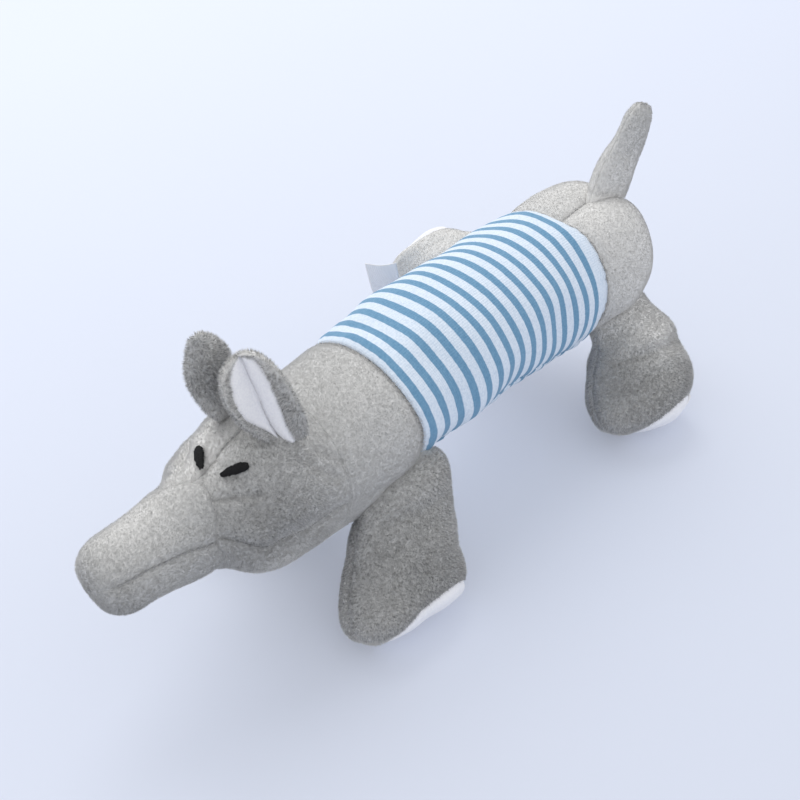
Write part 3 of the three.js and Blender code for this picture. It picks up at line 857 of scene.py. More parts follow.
def body_grid(first, last, low, high, wrap=False, sleeve=False):
    t, angle = panel_grid(first, last, low, high, wrap)
    grid, out = body_skin(t, angle, sleeve)
    return t, angle, grid, normals_along(grid, out, wrap)


# Stuffing: a coarse copy of a skin is blown up as cloth, and a share of how far it moves is kept
SIM_FRAMES, SIM_CAP = 20, 2.2
SIM_RULES = {
    "quality": 6,
    "mass": 0.2,
    "tension_stiffness": 12,
    "compression_stiffness": 12,
    "shear_stiffness": 6,
    "bending_stiffness": 0.4,
    "use_pressure": True,
    "uniform_pressure_force": 4.0,
    "shrink_min": -0.05,
    "vertex_group_mass": "pins",
}
STUFF_SHARE = {"body": 0.45, "leg": 0.4, "tail": 0.2}
# Rings along the body, corners of each, how far the first stands from a pole and what is held beside seams
SIM_ROWS, SIM_COLUMNS, SIM_POLE, SIM_HELD, SIM_HELD_ANGLE = 78, 44, 0.6, 2.1, 0.08


def blown_up(grid, held):
    """A closed tube of cloth under pressure. Held corners stay where they are."""
    rows, columns = grid.shape[:2]
    count, last = rows * columns, (rows - 1) * columns
    points = np.vstack([grid.reshape(-1, 3), grid[0].mean(0), grid[-1].mean(0)])
    ring = [(k, (k + 1) % columns) for k in range(columns)]
    faces = quads(rows, columns, True).tolist()
    faces += [(after, k, count) for k, after in ring]
    faces += [(last + k, last + after, count + 1) for k, after in ring]
    mesh = bpy.data.meshes.new("stuffing")
    mesh.from_pydata(metres(points).tolist(), [], faces)
    work = bmesh.new()
    work.from_mesh(mesh)
    bmesh.ops.recalc_face_normals(work, faces=work.faces)
    work.to_mesh(mesh)
    work.free()
    cloth = bpy.data.objects.new("stuffing", mesh)
    bpy.context.scene.collection.objects.link(cloth)
    pins = cloth.vertex_groups.new(name="pins")
    pins.add([*np.flatnonzero(held.ravel()).tolist(), count, count + 1], 1.0, "REPLACE")
    change = cloth.modifiers.new("cloth", "CLOTH")
    for key, value in SIM_RULES.items():
        setattr(change.settings, key, value)
    change.settings.effector_weights.gravity = 0
    change.collision_settings.use_collision = False
    change.point_cache.frame_start = 1
    change.point_cache.frame_end = SIM_FRAMES
    for number in range(1, SIM_FRAMES + 1):
        bpy.context.scene.frame_set(number)
    ready = cloth.evaluated_get(bpy.context.evaluated_depsgraph_get())
    moved = np.empty(len(points) * 3, np.float32)
    ready.to_mesh().vertices.foreach_get("co", moved)
    ready.to_mesh_clear()
    bpy.data.objects.remove(cloth)
    bpy.data.meshes.remove(mesh)
    bpy.context.scene.frame_set(1)
    return moved.reshape(-1, 3)[:count].reshape(grid.shape).astype(float) / MM + FOOTPRINT


def stuffing_of(kind, along, start, grid, normals, held):
    """How far the blown-up cloth stands off, about its median, with its rows and its first angle."""
    moved = np.sum((blown_up(grid - normals, held) - grid + normals) * normals, -1)
    moved = np.clip(moved - np.median(moved), -SIM_CAP, SIM_CAP) * STUFF_SHARE[kind]
    return along, start, moved


def knots(f):
    """Shares of four neighbours in a smooth curve."""
    return [
        (1 - f) ** 3 / 6,
        (3 * f**3 - 6 * f**2 + 4) / 6,
        (3 * f**2 - 3 * f**3 + 3 * f + 1) / 6,
        f**3 / 6,
    ]


def stuffed(kept, along, angle):
    """The kept stuffing at any place, smooth between its corners."""
    if kept is None:
        return 0.0
    rows, first, moved = kept
    high, wide = moved.shape
    i = np.interp(along, rows, np.arange(high))
    j = (angle - first) / (2 * np.pi) * wide
    low, left = np.floor(i).astype(int), np.floor(j).astype(int)
    total = 0.0
    for p, down in enumerate(knots(i - low)):
        row = np.clip(low + p - 1, 0, high - 1)
        for q, across in enumerate(knots(j - left)):
            total = total + down * across * moved[row, (left + q - 1) % wide]
    return total


def rings(t, columns, start=0.0):
    """Places (t, angle) on rings of evenly spaced corners."""
    angle = start + 2 * np.pi * np.arange(columns) / columns
    return np.repeat(t[:, None], columns, 1), np.repeat(angle[None], len(t), 0)


def stuff_body():
    arc = np.linspace(arc_of(SIM_POLE), arc_of(last_t - SIM_POLE), SIM_ROWS)
    t, angle = rings(np.interp(arc, body_arc, body_t), SIM_COLUMNS, -QUARTER)
    plain = body_point(t, angle)
    normals = normals_along(plain, plain - body_middle(t, plain), True)
    held = np.zeros(t.shape, bool)
    for seam in (sleeve_rear_t, sleeve_front_t, t_of_x(TRUNK_X)):
        held |= np.abs(arc_of(t) - arc_of(seam)) < SIM_HELD
    held |= (angle_gap(angle, QUARTER) < SIM_HELD_ANGLE) & (plain[..., 0] < SLEEVE_REAR_X)
    held[0] = held[-1] = True
    return stuffing_of("body", arc, -QUARTER, plain, normals, held)


def stuff_limb(kind, limb, last, rows, columns, seams):
    """A limb's stuffing, held at its root, at its end and along its seams."""
    t, angle = rings(np.linspace(0, last, rows), columns)
    held = np.zeros(t.shape, bool)
    held[:3] = held[-1] = True
    held[:, seams] = True
    return stuffing_of(kind, t[:, 0], 0.0, limb.point(t, angle), limb.out(t, angle), held)


def dress(made, slot, bodies, bend=None, nodes=(), fill=None):
    """Hangs a piece on its first body, or bakes its place into its mesh where a bend is given, and hides
    the nodes that it stands for. Its slot and its fill are not used.
    """
    if bend is None:
        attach(made, bodies[0])
    else:
        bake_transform(made)
    if nodes:
        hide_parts(*nodes)


BODY_FILL, SOLE_FILL, EAR_FILL = 0.8, 0.5, 0.2


def plush_panel(name, grid, normals, seed, bodies, bend, nodes, wrap=False, **fur):
    """A panel of plush with its pile, hung on its first body, or baked in place where a bend is given."""
    # The tone carries painted light, sheen and shade
    cloth = shell(name, grid, normals, CLOTH, wrap, GROUND, {"tone": tone_with_painted_light(grid)})
    dress(cloth, "grey_plush", bodies, bend, nodes, BODY_FILL)
    hair = pile(name + "_pile", grid, normals, PILE, seed, wrap=wrap, **fur)
    dress(hair, "grey_plush", bodies, bend)


def mirrored(edge):
    """An edge's angle on the right side."""
    return lambda t: np.pi - edge(t)


def turned(edge):
    """An edge's angle after a whole turn."""
    return lambda t: 2 * np.pi + edge(t)


def towards_face(neck, face):
    """A measure of the pile that changes from the neck to the face."""
    return lambda points: neck + (face - neck) * smooth(points[..., 0], 56, 84)


def clear_of_body(share):
    return lambda points: ~inside_body(points, share)


# Which bodies go with a panel, and the two ends of its bend; where a bend is given, dress() only bakes the
# panel in place. The trunk's ends lie in front of its seam.
REST = (["torso"], None)
NECK = (["torso", "head"], ((50, 0, 56), (80, 0, 56)))
TRUNK = (["head", "trunk"], ((116, 0, 60), (132, 0, 64)))
FRONT, COLLAR, TIP = fixed_at(sleeve_front_t), fixed_at(neck_t), fixed_at(last_t)
UNDER, TOP, BROW = fixed_at(-QUARTER), fixed_at(QUARTER), fixed_at(FOREHEAD_ANGLE)
FACE_ROUGH, FACE_LENGTH = towards_face(0.4, 1.0), towards_face(0.6, PILE_LENGTH)
RUMP_BARE, HEAD_BARE, TRUNK_BARE = (0, 0, BARE, BARE), (0, BARE, BARE, BARE), (BARE, 0, BARE, BARE)
# Each panel: edges along and round the body; roughness, length and brushing of its pile; bare seams; nodes
PANELS = [
    (
        "rump_left", fixed_at(0), rear_seam, UNDER, TOP,
        0.3, 0.55, (-0.1, 0, 0.55), RUMP_BARE, REST, ["rump_left_panel"],
    ),
    (
        "rump_right", fixed_at(0), rear_seam, TOP, fixed_at(3 * QUARTER),
        0.3, 0.55, (-0.1, 0, 0.5), RUMP_BARE, REST, ["rump_right_panel"],
    ),
    (
        "chest", FRONT, COLLAR, UNDER, fixed_at(3 * QUARTER),
        FACE_ROUGH, FACE_LENGTH, (-0.25, 0, 0.1), (0, 0, 0, 0), NECK,
        ["chest_panel", "torso_filling_upper", "torso_filling_lower"],
    ),
    (
        "head_left", COLLAR, trunk_seam, chin_angle, BROW,
        FACE_ROUGH, FACE_LENGTH, (-0.35, 0, -0.1), HEAD_BARE, NECK, ["head_left_panel", "head_filling"],
    ),
    (
        "head_right", COLLAR, trunk_seam, BROW, mirrored(chin_angle),
        FACE_ROUGH, FACE_LENGTH, (-0.3, -0.2, 0.1), HEAD_BARE, NECK, ["head_right_panel"],
    ),
    (
        "chin", COLLAR, trunk_seam, mirrored(chin_angle), turned(chin_angle),
        0.7, FACE_LENGTH, (-0.1, 0, 0.1), HEAD_BARE, NECK, ["chin_panel"],
    ),
    (
        "trunk_top", trunk_seam, TIP, trunk_angle, mirrored(trunk_angle),
        0.5, 0.7, (-0.15, 0, 0.1), TRUNK_BARE, TRUNK, ["trunk_top_panel", "trunk_filling"],
    ),
    (
        "trunk_under", trunk_seam, TIP, mirrored(trunk_angle), turned(trunk_angle),
        0.6, 0.7, (-0.1, 0, 0.2), TRUNK_BARE, TRUNK, ["trunk_under_panel"],
    ),
]


def add_body():
    for number, (name, *edges, rough, length, nap, margins, carried, nodes) in enumerate(PANELS):
        wrap = name == "chest"
        _, _, grid, normals = body_grid(*edges, wrap)
        plush_panel(
            name, grid, normals, 100 + 20 * number, *carried, nodes, wrap=wrap,
            rough=rough, length=length, nap=nap, margins=margins,
        )


# How far the stripes lie askew and bow, and how the plush at the sleeve's ends stands over it
STRIPE_SKEW, STRIPE_BOW = 2.4, 4.6
FRINGE_LENGTH, FRINGE_NAP, FRINGE_START, FRINGE_END = 1.5, 0.8, -1.3, 0.1
FRINGE_ROWS, FRINGE_CORNERS = 4, 230


def add_sleeve():
    once = fixed_at(SLEEVE_SEAM), fixed_at(SLEEVE_SEAM + 2 * np.pi)
    t, angle, grid, normals = body_grid(rear_seam, FRONT, *once, sleeve=True)
    row = spline(BODY, t)
    rear, front = arc_of(sleeve_rear_t), arc_of(sleeve_front_t)
    share = (arc_of(t) - rear) / (front - rear)
    along = row[..., 0] + STRIPE_SKEW * ((angle - SLEEVE_SEAM) / (2 * np.pi) - 0.4)
    along -= STRIPE_BOW * np.sin(angle - np.pi / 4) * np.sin(np.pi * share)
    extra = {"along": along, "round": angle * row[..., 2]}
    made = shell("sleeve", grid, normals, KNIT_CLOTH, False, KNIT, extra)
    dress(made, "striped_knit", ["torso"], nodes=["striped_sleeve"], fill=BODY_FILL)


def add_fringe():
    """Plush that stands over the two ends of the sleeve."""
    _, angle = rings(np.zeros(FRINGE_ROWS), FRINGE_CORNERS)
    for name, seam, way, seed in (("rump", rear_seam, 1, 760), ("chest", FRONT, -1, 780)):
        over = np.linspace(FRINGE_START * way, FRINGE_END * way, FRINGE_ROWS)
        t = np.interp(arc_of(seam(angle)) + over[:, None], body_arc, body_t)
        fur = pile(
            name + "_fringe", *body_skin(t, angle), PILE, seed,
            length=FRINGE_LENGTH, wrap=True, nap=(FRINGE_NAP * way, 0, 0),
        )
        dress(fur, "grey_plush", ["torso"])


# Legs: distance from the seam down to the sole, shift towards the toe, half length, half depth
LEG = [
    [-12, 0, 12, 7],
    [4, 0, 16.8, 11.8],
    [14, 1.6, 19.4, 14],
    [25, 3.4, 21.8, 15.4],
    [34, 3, 22.2, 15.6],
    [38.4, 1, 19.2, 13.4],
    [40.4, 0, 16.4, 10.6],
    [41, 0, 10, 6.4],
    [41.2, 0, 4, 2.6],
]
SOLE_ROW = 6
# A leg's mean radius and the height of a row near its sole
LEG_RADIUS, ROW_HEIGHT = 18, 2.4
# How far the white sole comes up the outer side of a foot, in rows, round which angle and how broadly
SOLES = {"front": (2.0, 112, 76), "hind": (2.1, 116, 80)}
LEGS = [
    ("front_left", (43, 21.6, 37.45), (55, 43.4, 5.25), (1, -0.1, 0), 1),
    ("front_right", (43, -21.6, 37.45), (55, -43.4, 5.25), (1, 0.1, 0), -1),
    ("hind_left", (-80, 21.8, 38.1), (-79, 45.4, 6.1), (1, -0.22, 0), 1),
    ("hind_right", (-75, -25, 43.5), (-52, -66, 36), (1, 0, 0), -1),
]
# The tables below go by a leg's own name or by its pair.
# Folds across the outer side of a leg: how far down it, depth and width
LEG_FOLDS = {
    "front": [(5, 0.8, 2.4)],
    "hind_left": [(12.5, 1.6, 2.6), (3, 0.6, 2.4)],
    "hind_right": [(8, 0.9, 2.6)],
}
# How much broader a leg is from heel to toe, and how much fuller its outer side is
LEG_BROADER = {"front": 2.6, "hind_left": 0.6}
LEG_FULLER = {"hind_left": 1.4, "hind_right": -4.0}
# Where a leg's heel side, toe side or top stands out or in: how much, how far down and over what width
LEG_HEELS = {
    "front": [(3.6, -5, 9), (1.4, 16, 9)],
    "hind_right": [(6, 12, 12)],
    "hind_left": [(-4.5, 40, 12), (1.0, 14, 8)],
}
LEG_TOES = {"hind_left": [(-2.2, 4, 5)]}
LEG_SHOULDERS = {"front": [(4.0, -3, 9)]}
# Roughness, speckle (random tone and the painted shade between tufts) and length of the pile
LEG_PILE = {"front": (0.7, 1.15, 1.0), "hind_left": (0.7, 1.15, 1.0), "hind_right": (0.4, 0.4, 0.5)}
LEG_NAP = 0.5


class Limb:
    """Oval sections across a straight or bent middle line."""

    def __init__(self, middles, halves, across):
        self.middles, self.halves = np.asarray(middles, float), np.asarray(halves, float)
        self.across = unit(np.asarray(across, float))
        self.last = len(self.middles) - 1

    def beside(self, t):
        """Places just after and just before t."""
        return np.minimum(t + 1e-3, self.last), np.maximum(t - 1e-3, 0)

    def upward(self, t):
        after, before = self.beside(t)
        ahead = spline(self.middles, after) - spline(self.middles, before)
        return unit(np.cross(unit(ahead), self.across))

    def point(self, t, angle):
        half = spline(self.halves, t)
        return (
            spline(self.middles, t)
            + self.across * (half[..., 0] * np.cos(angle))[..., None]
            + self.upward(t) * (half[..., 1] * np.sin(angle))[..., None]
        )

    def out(self, t, angle):
        """The way out from an oval section."""
        half = np.maximum(spline(self.halves, t), 1e-3)
        after, before = self.beside(t)
        along = unit(self.point(after, angle) - self.point(before, angle))
        away = (
            self.across * (np.cos(angle) / half[..., 0])[..., None]
            + self.upward(t) * (np.sin(angle) / half[..., 1])[..., None]
        )
        return unit(away - along * np.sum(away * along, -1, keepdims=True))

    def places(self, first, last, low, high, step=STEP):
        """Places (t, angle) over a panel of the limb, about a step apart."""
        fine = np.linspace(first, last, 400)
        arc = arc_along(self.point(fine, np.zeros(400)))
        rows = max(3, round(arc[-1] / step) + 1)
        t = np.interp(np.linspace(0, arc[-1], rows), arc, fine)
        columns = max(4, round(self.halves.max() * 0.85 * (high - low) / step))
        angle = np.linspace(low, high, columns)
        return np.repeat(t[:, None], columns, 1), np.repeat(angle[None], rows, 0)


def closed(name, grid, material, attributes=None):
    """A closed tube whose two end rings are points."""
    rows, columns = grid.shape[:2]
    faces = quads(rows, columns, True)
    flat = grid.reshape(-1, 3)
    corner = flat[faces] - flat.mean(0)
    volume = np.sum(corner[:, 0] * np.cross(corner[:, 1], corner[:, 2]))
    volume += np.sum(corner[:, 0] * np.cross(corner[:, 2], corner[:, 3]))
    faces = faces if volume > 0 else faces[:, ::-1]
    made = mesh_object(name, flat, faces, material, attributes=attributes)
    weld(made)
    return made


# Sole: how many rows are tucked under the plush and how deep, how far its edge and its face stand
# off, how far its bottom bulges, and its thickness
SOLE_TUCK, SOLE_TUCKED, SOLE_RIM, SOLE_LIFT, SOLE_ROUND, SOLE_CLOTH = 0.3, -1.9, -0.25, 0.1, 2.4, 0.6
SOLE_CORNERS = 110


class Leg(Limb):
    """A leg with its seam, the way down it and the angle at which its outer side starts."""

    def __init__(self, number, name, seam, sole, toe, side):
        self.number, self.name, self.body = number, name, "leg_" + name
        seam, toe = np.asarray(seam, float), unit(np.asarray(toe, float))
        self.down = unit(np.asarray(sole, float) - seam)
        middles = [seam + self.down * d + toe * s for d, s, _, _ in LEG]
        super().__init__(middles, [row[2:] for row in LEG], toe)
        self.bend = (seam - self.down * 3, seam + self.down * 14)
        self.outer_low = 0 if self.upward(np.array(3.0))[1] * side > 0 else np.pi

    def rule(self, table, default=()):
        return table.get(self.name, table.get(self.name.split("_")[0], default))

    def sole_edge(self, angle):
        """The row at which the plush ends and the sole starts."""
        rise, middle, spread = self.rule(SOLES)
        middle = self.outer_low + math.radians(middle if self.outer_low < 1 else 180 - middle)
        return SOLE_ROW - rise * bell(angle_gap(angle, middle), math.radians(spread))

    def skin(self, t, angle, lift=0.0):
        """Points on the sewn plush, and the way out from the plain form there."""
        plain, out = self.point(t, angle), self.out(t, angle)
        edge = np.minimum(angle_gap(angle, 0), angle_gap(angle, np.pi)) * LEG_RADIUS
        distance = spline(np.array(LEG)[:, :1], t)[..., 0]
        side = np.sin(angle - self.outer_low)
        outer, face = smooth(side, -0.1, 0.5), smooth(side, 0.3, 0.85)
        relief = rolling("leg", plain, self.number) - PLUSH_DEEP
        relief = relief + stuffed(leg_stuffing, t, angle)
        relief -= groove("leg_side", edge)
        relief -= groove("leg_sole", (self.sole_edge(angle) - t) * ROW_HEIGHT)
        for place, deep, wide in self.rule(LEG_FOLDS):
            past = distance - place - 1.6 * np.cos(angle - self.outer_low)
            relief -= face * deep * (bell(past, wide) - 0.3 * bell(past - 5, 4))
        relief += self.rule(LEG_BROADER, 0) * np.cos(angle) ** 2 * smooth(distance, -4, 10)
        fuller = smooth(distance, -4, 14) * (1 - 0.8 * smooth(distance, 26, 38))
        relief += outer * self.rule(LEG_FULLER, 0) * fuller
        for table, where in (
            (LEG_SHOULDERS, outer),
            (LEG_HEELS, smooth(-np.cos(angle), 0, 1)),
            (LEG_TOES, smooth(np.cos(angle), 0.1, 0.9)),
        ):
            for more, place, wide in self.rule(table):
                relief += more * where * bell(distance - place, wide)
        return above_floor(plain + out * (relief + lift)[..., None]), out

    def build(self):
        nodes = {"outer": [self.body + "_outer", self.body + "_filling"], "inner": [self.body + "_inner"]}
        rough, speckle, length = self.rule(LEG_PILE)
        for part, low in (("outer", self.outer_low), ("inner", np.pi - self.outer_low)):
            t, angle = self.places(0, SOLE_ROW, low, low + np.pi)
            grid, out = self.skin(t * self.sole_edge(angle) / SOLE_ROW, angle)
            plush_panel(
                f"{self.body}_{part}", grid, normals_along(grid, out),
                400 + 40 * self.number + 20 * (part == "inner"),
                ["torso", self.body], self.bend, nodes[part],
                keep=clear_of_body(0.95), nap=self.down * LEG_NAP, margins=HEAD_BARE,
                rough=rough, speckle=speckle, length=length,
            )
        self.add_sole()

    def add_sole(self):
        angle = np.linspace(0, 2 * np.pi, SOLE_CORNERS, endpoint=False)[None]
        edge = self.sole_edge(angle)
        share = np.linspace(0, 1, 7)[:, None]
        t = np.concatenate([edge - SOLE_TUCK, edge + (SOLE_ROW - edge) * share])
        lift = np.full(t.shape, SOLE_LIFT)
        lift[0], lift[1] = SOLE_TUCKED, SOLE_RIM
        side, _ = self.skin(t, angle + 0 * t, lift)
        centre = spline(self.middles, np.array(float(SOLE_ROW)))
        inward = np.linspace(1, 0, 14)[1:, None, None]
        bulge = self.down * (SOLE_ROUND * (1 - inward**3))
        grid = above_floor(np.concatenate([side, centre + (side[-1] - centre) * inward + bulge]))
        found = normals_of(grid, True)
        found *= np.sign(np.mean(np.sum(found[len(t):] * self.down, -1)))
        name = self.body + "_sole"
        made = shell(name, grid, found, SOLE_CLOTH, True, WHITE)
        dress(made, "white_cloth", [self.body], nodes=[name], fill=SOLE_FILL)


legs = [Leg(number, *row) for number, row in enumerate(LEGS)]


# Tail: middle x, middle height, half thickness, half width
TAIL = [
    [-91, 74, 5, 10.5],
    [-95, 82, 6, 11.8],
    [-101, 92, 5.8, 11.0],
    [-106.6, 100.4, 5.0, 9.6],
    [-110.4, 105.4, 4.2, 8.2],
    [-112.4, 107.8, 3.0, 6.0],
    [-113.1, 108.7, 0, 0],
]
TAIL_SEAM = np.array([-94.6, 0, 81.9])
TAIL_RISE = unit(np.array([-17.6, 0, 26.0]))
TAIL_BEND = (TAIL_SEAM - TAIL_RISE * 2, TAIL_SEAM + TAIL_RISE * 9)
TAIL_STEP, TAIL_RADIUS, TAIL_NAP = 1.1, 9, 0.45

tail = Limb([[x, 0, z] for x, z, _, _ in TAIL], [row[2:] for row in TAIL], LEFT)


def add_tail():
    for number, (side, low) in enumerate((("left", -QUARTER), ("right", QUARTER))):
        t, angle = tail.places(0, tail.last, low, low + np.pi, TAIL_STEP)
        plain, out = tail.point(t, angle), tail.out(t, angle)
        edge = np.minimum(angle - low, low + np.pi - angle) * TAIL_RADIUS
        relief = rolling("tail", plain) - PLUSH_DEEP - groove("tail_side", edge)
        relief = (relief + stuffed(tail_stuffing, t, angle)) * smooth(tail.last - t, 0, 0.8)
        grid = plain + out * relief[..., None]
        plush_panel(
            "tail_" + side, grid, normals_along(grid, out), 700 + 20 * number,
            ["torso", "tail"], TAIL_BEND, [f"tail_{side}_panel"] + ["tail_filling"] * (number == 0),
            rough=0.4, length=0.6, keep=clear_of_body(0.95), nap=TAIL_RISE * TAIL_NAP,
        )


# Ears: height, middle, half width, how far the edges fold forward
EAR_LEFT = [
    [-1.5, -1, 4.0, 1.0],
    [3, -0.8, 6.2, 2.6],
    [8, -0.6, 7.7, 4.6],
    [14, -0.2, 8.8, 6.4],
    [20, -0.2, 9.2, 7],
    [25.4, -0.2, 8.7, 6],
    [29.2, -0.2, 7.2, 4],
    [31.7, -0.3, 4.4, 1.8],
    [32.4, -0.4, 0, 0.6],
]
EAR_RIGHT = [
    [-1.5, 0.5, 4.4, 0.6],
    [4, 1.2, 6.2, 1.2],
    [9, 0.8, 7.7, 2.0],
    [14, 0.4, 8.7, 2.4],
    [18.5, 0.7, 8.5, 2.4],
    [23.6, 1.5, 6.9, 1.8],
    [27.5, 1.9, 5.2, 1.2],
    [30.4, 2.6, 3.6, 0.8],
    [32.7, 3.5, 2.1, 0.5],
    [33.8, 4.2, 0, 0.2],
]
EARS = [
    ("left", 1, (78, 10.8, 82), (84, -3.5, 108.5), (0.84, -0.36, -0.395), EAR_LEFT),
    ("right", -1, (82.5, -11, 83.8), (87.2, -13.5, 114.3), (0.93, 0.12, -0.13), EAR_RIGHT),
]
# Lining: share of an ear's height, and there its rear edge, front edge and crease as shares of the half
# width. The ear folds along the crease.
LINING = np.array(
    [
        [0.0, -0.12, 0.60, 0.58],
        [0.19, -0.22, 0.68, 0.42],
        [0.31, -0.34, 0.78, 0.28],
        [0.46, -0.45, 0.84, 0.11],
        [0.62, -0.54, 0.82, 0.0],
        [0.74, -0.59, 0.73, -0.04],
        [0.86, -0.67, 0.61, -0.16],
        [0.92, -0.69, 0.50, -0.22],
        [0.955, -0.58, 0.22, -0.26],
        [0.975, -0.28, -0.28, -0.28],
    ]
)


EAR_ROWS, EAR_FOLD, EAR_FULL, LINING_CLOTH = 52, 1.08, 6, 0.4
# Columns of an ear's back, front rim, bed of the lining and rear rim
BACK, RIM, BED, REAR = 26, 6, 16, 8


def ear_loop(rear, front):
    """Once round an ear's leaf, as shares of the half width and depths: back, front rim, bed, rear rim."""
    back = [(s, -0.6 - 1.5 * math.sqrt(max(0.0, 1 - s * s))) for s in np.linspace(-1, 1, BACK)]
    edge = [(1.03, 0.1), (1.02, 0.8)]
    for k in np.linspace(0.1, 1, RIM):
        edge.append((1 + (front - 1) * k, 1.45 + 0.4 * math.sin(k * np.pi) - 0.4 * k))
    bed = [(front - 0.03 + (rear - front + 0.06) * k, -1.5) for k in np.linspace(0, 1, BED)]
    far = []
    for k in np.linspace(0, 0.9, REAR):
        far.append((rear + (-1 - rear) * k, 1.1 + 0.9 * math.sin(k * np.pi) + 0.3 * k))
    far += [(-1.02, 0.8), (-1.03, 0.1)]
    return np.array(back + edge + bed + far)


def add_ear(number, name, side, seam, tip, front, profile):
    root, across = np.asarray(seam, float), unit(np.asarray(front, float))
    rise = np.asarray(tip, float) - root
    rise = unit(rise - across * (rise @ across))
    facing = unit(np.cross(rise, across) * side)
    row = spline(profile, np.linspace(0, len(profile) - 1, EAR_ROWS))
    height, centre, half, curl = (row[:, k:k + 1] for k in range(4))
    level = height / profile[-1][0]
    rear_edge, front_edge, crease = (np.interp(level, LINING[:, 0], LINING[:, k]) for k in (1, 2, 3))

    def spot(share, depth):
        fold = np.sqrt((share - crease) ** 2 + 0.006) - 0.077
        forward = curl * EAR_FOLD * fold + depth * np.clip(half / EAR_FULL, 0, 1)
        wide = centre + half * share
        return root + rise * height[..., None] + across * wide[..., None] + facing * forward[..., None]

    body, bend = "ear_" + name, (root + rise * 1.0, root + rise * 9)
    carried = (["head", body], bend)
    loop = np.array([ear_loop(*edges) for edges in zip(rear_edge[:, 0], front_edge[:, 0])])
    grid = spot(loop[..., 0], loop[..., 1])
    # The tone carries painted light, sheen and shade
    made = closed(body + "_outer", grid, GROUND, {"tone": tone_with_painted_light(grid)})
    # The pile covers all but the bed of the lining
    bed = BACK + RIM + 2
    rear, columns = bed + BED, loop.shape[1]
    skin = grid[:, np.r_[rear:columns, 0:bed]]
    out = normals_of(skin, False)
    out *= -np.sign(np.mean(out[:, columns - rear + BACK // 2] @ facing))
    fur = pile(
        body + "_pile", skin, out, PILE, 800 + 20 * number, rough=1.2, length=1.15, speckle=1.3,
        keep=clear_of_body(0.97), nap=rise * 0.2,
    )
    dress(made, "grey_plush", *carried, [body + "_outer"], EAR_FILL)
    dress(fur, "grey_plush", *carried)
    # Lining: two lobes with a crease between
    open_wide = np.clip((front_edge - rear_edge) / 0.6, 0, 1)
    share = rear_edge + (front_edge - rear_edge) * np.linspace(-0.05, 1.05, 44)[None]
    depth = -0.1 - 1.2 * bell(share - crease, 0.05) + 0.15 * np.sin(height / 4.1 + 3 * share)
    for edge, high in ((front_edge, 1.2), (rear_edge, 1.6)):
        middle, half_lobe = (edge + crease) / 2, np.maximum(np.abs(edge - crease) / 2, 0.05)
        depth = depth + high * np.clip(1 - ((share - middle) / half_lobe) ** 2, 0, 1) ** 0.65
    grid = spot(share, depth * open_wide)[level[:, 0] < LINING[-1, 0]]
    made = shell(body + "_lining", grid, normals_along(grid, facing), LINING_CLOTH, False, WHITE)
    dress(made, "white_cloth", *carried, [body + "_lining"], EAR_FILL)


# Eyes: bars of satin stitch, their inner and outer ends, width, stitches, and a stitch's height and thread
EYES = {"left": ((100.5, 4.4), (93.8, 9.2)), "right": ((102.6, -1.8), (97.8, -8.7))}
EYE_WIDTH, STITCHES, EYE_HIGH, EYE_THREAD = 3.0, 24, 0.75, 0.29


def tubes(paths, sizes, sides):
    """Corners and faces of round threads along paths, open at their sunk ends."""
    points, faces = [], []
    turn = 2 * np.pi * np.arange(sides) / sides
    for path, size in zip(paths, sizes):
        start = len(points)
        way = unit(np.gradient(path, axis=0))
        lean = unit(np.cross(way, UP + 0.01 * AHEAD))
        other = np.cross(way, lean)
        rings = path[:, None] + size[:, None, None] * (
            np.cos(turn)[:, None] * lean[:, None] + np.sin(turn)[:, None] * other[:, None]
        )
        points.extend(rings.reshape(-1, 3))
        faces.extend((quads(len(path), sides, True) + start).tolist())
    return np.array(points), np.array(faces)


def head_top(x, y):
    """The plush over a place on the forehead."""
    t = float(t_of_x(x))
    for _ in range(8):
        row = spline(BODY, np.array(t))
        angle = np.arccos(np.clip(y / row[2], -1, 1))
        t += float(t_of_x(x + row[0] - body_point(np.array(t), angle)[0]) - t_of_x(row[0]))
    return body_point(np.array(t), angle)


def add_eye(name):
    inner, outer = (head_top(*place) for place in EYES[name])
    middle = head_top(*np.mean(EYES[name], 0))
    along = unit(outer - inner)
    length = np.linalg.norm(outer - inner) + 0.8
    out = unit(np.array([0.42, middle[1] / 26, 1.0]))
    out = unit(out - along * (out @ along))
    across = np.cross(out, along)
    rng = np.random.default_rng(900 + len(name))
    paths, sizes = [], []
    s = np.linspace(-1, 1, 11)
    for k in range(STITCHES):
        place = (k + 0.5) / STITCHES * 2 - 1
        plump = 0.6 + 0.4 * smooth(place, -1.0, 0.2)
        half = EYE_WIDTH / 2 * plump * (1 - abs(place) ** 4) ** 0.5 * rng.uniform(0.88, 1.1) + 0.2
        start = (inner + outer) / 2 + along * place * length / 2 - out * (0.5 * place**2 + 0.1)
        arch = EYE_HIGH * (1 - s**2) ** 0.6 * (0.6 + 0.4 * plump)
        shift = half * s + rng.uniform(-0.12, 0.12)
        paths.append(start + across * shift[:, None] + out * arch[:, None])
        sizes.append(EYE_THREAD * (1 - 0.7 * np.abs(s) ** 10))
    made = mesh_object("eye_" + name, *tubes(paths, sizes, 8), THREAD)
    dress(made, "black_thread", ["head"], nodes=["eye_" + name])


# Stitches that lie in the seams: distance, length and half width of their thread
SEAM_STEP, SEAM_STITCH, SEAM_THREAD = 2.3, 1.5, 0.16


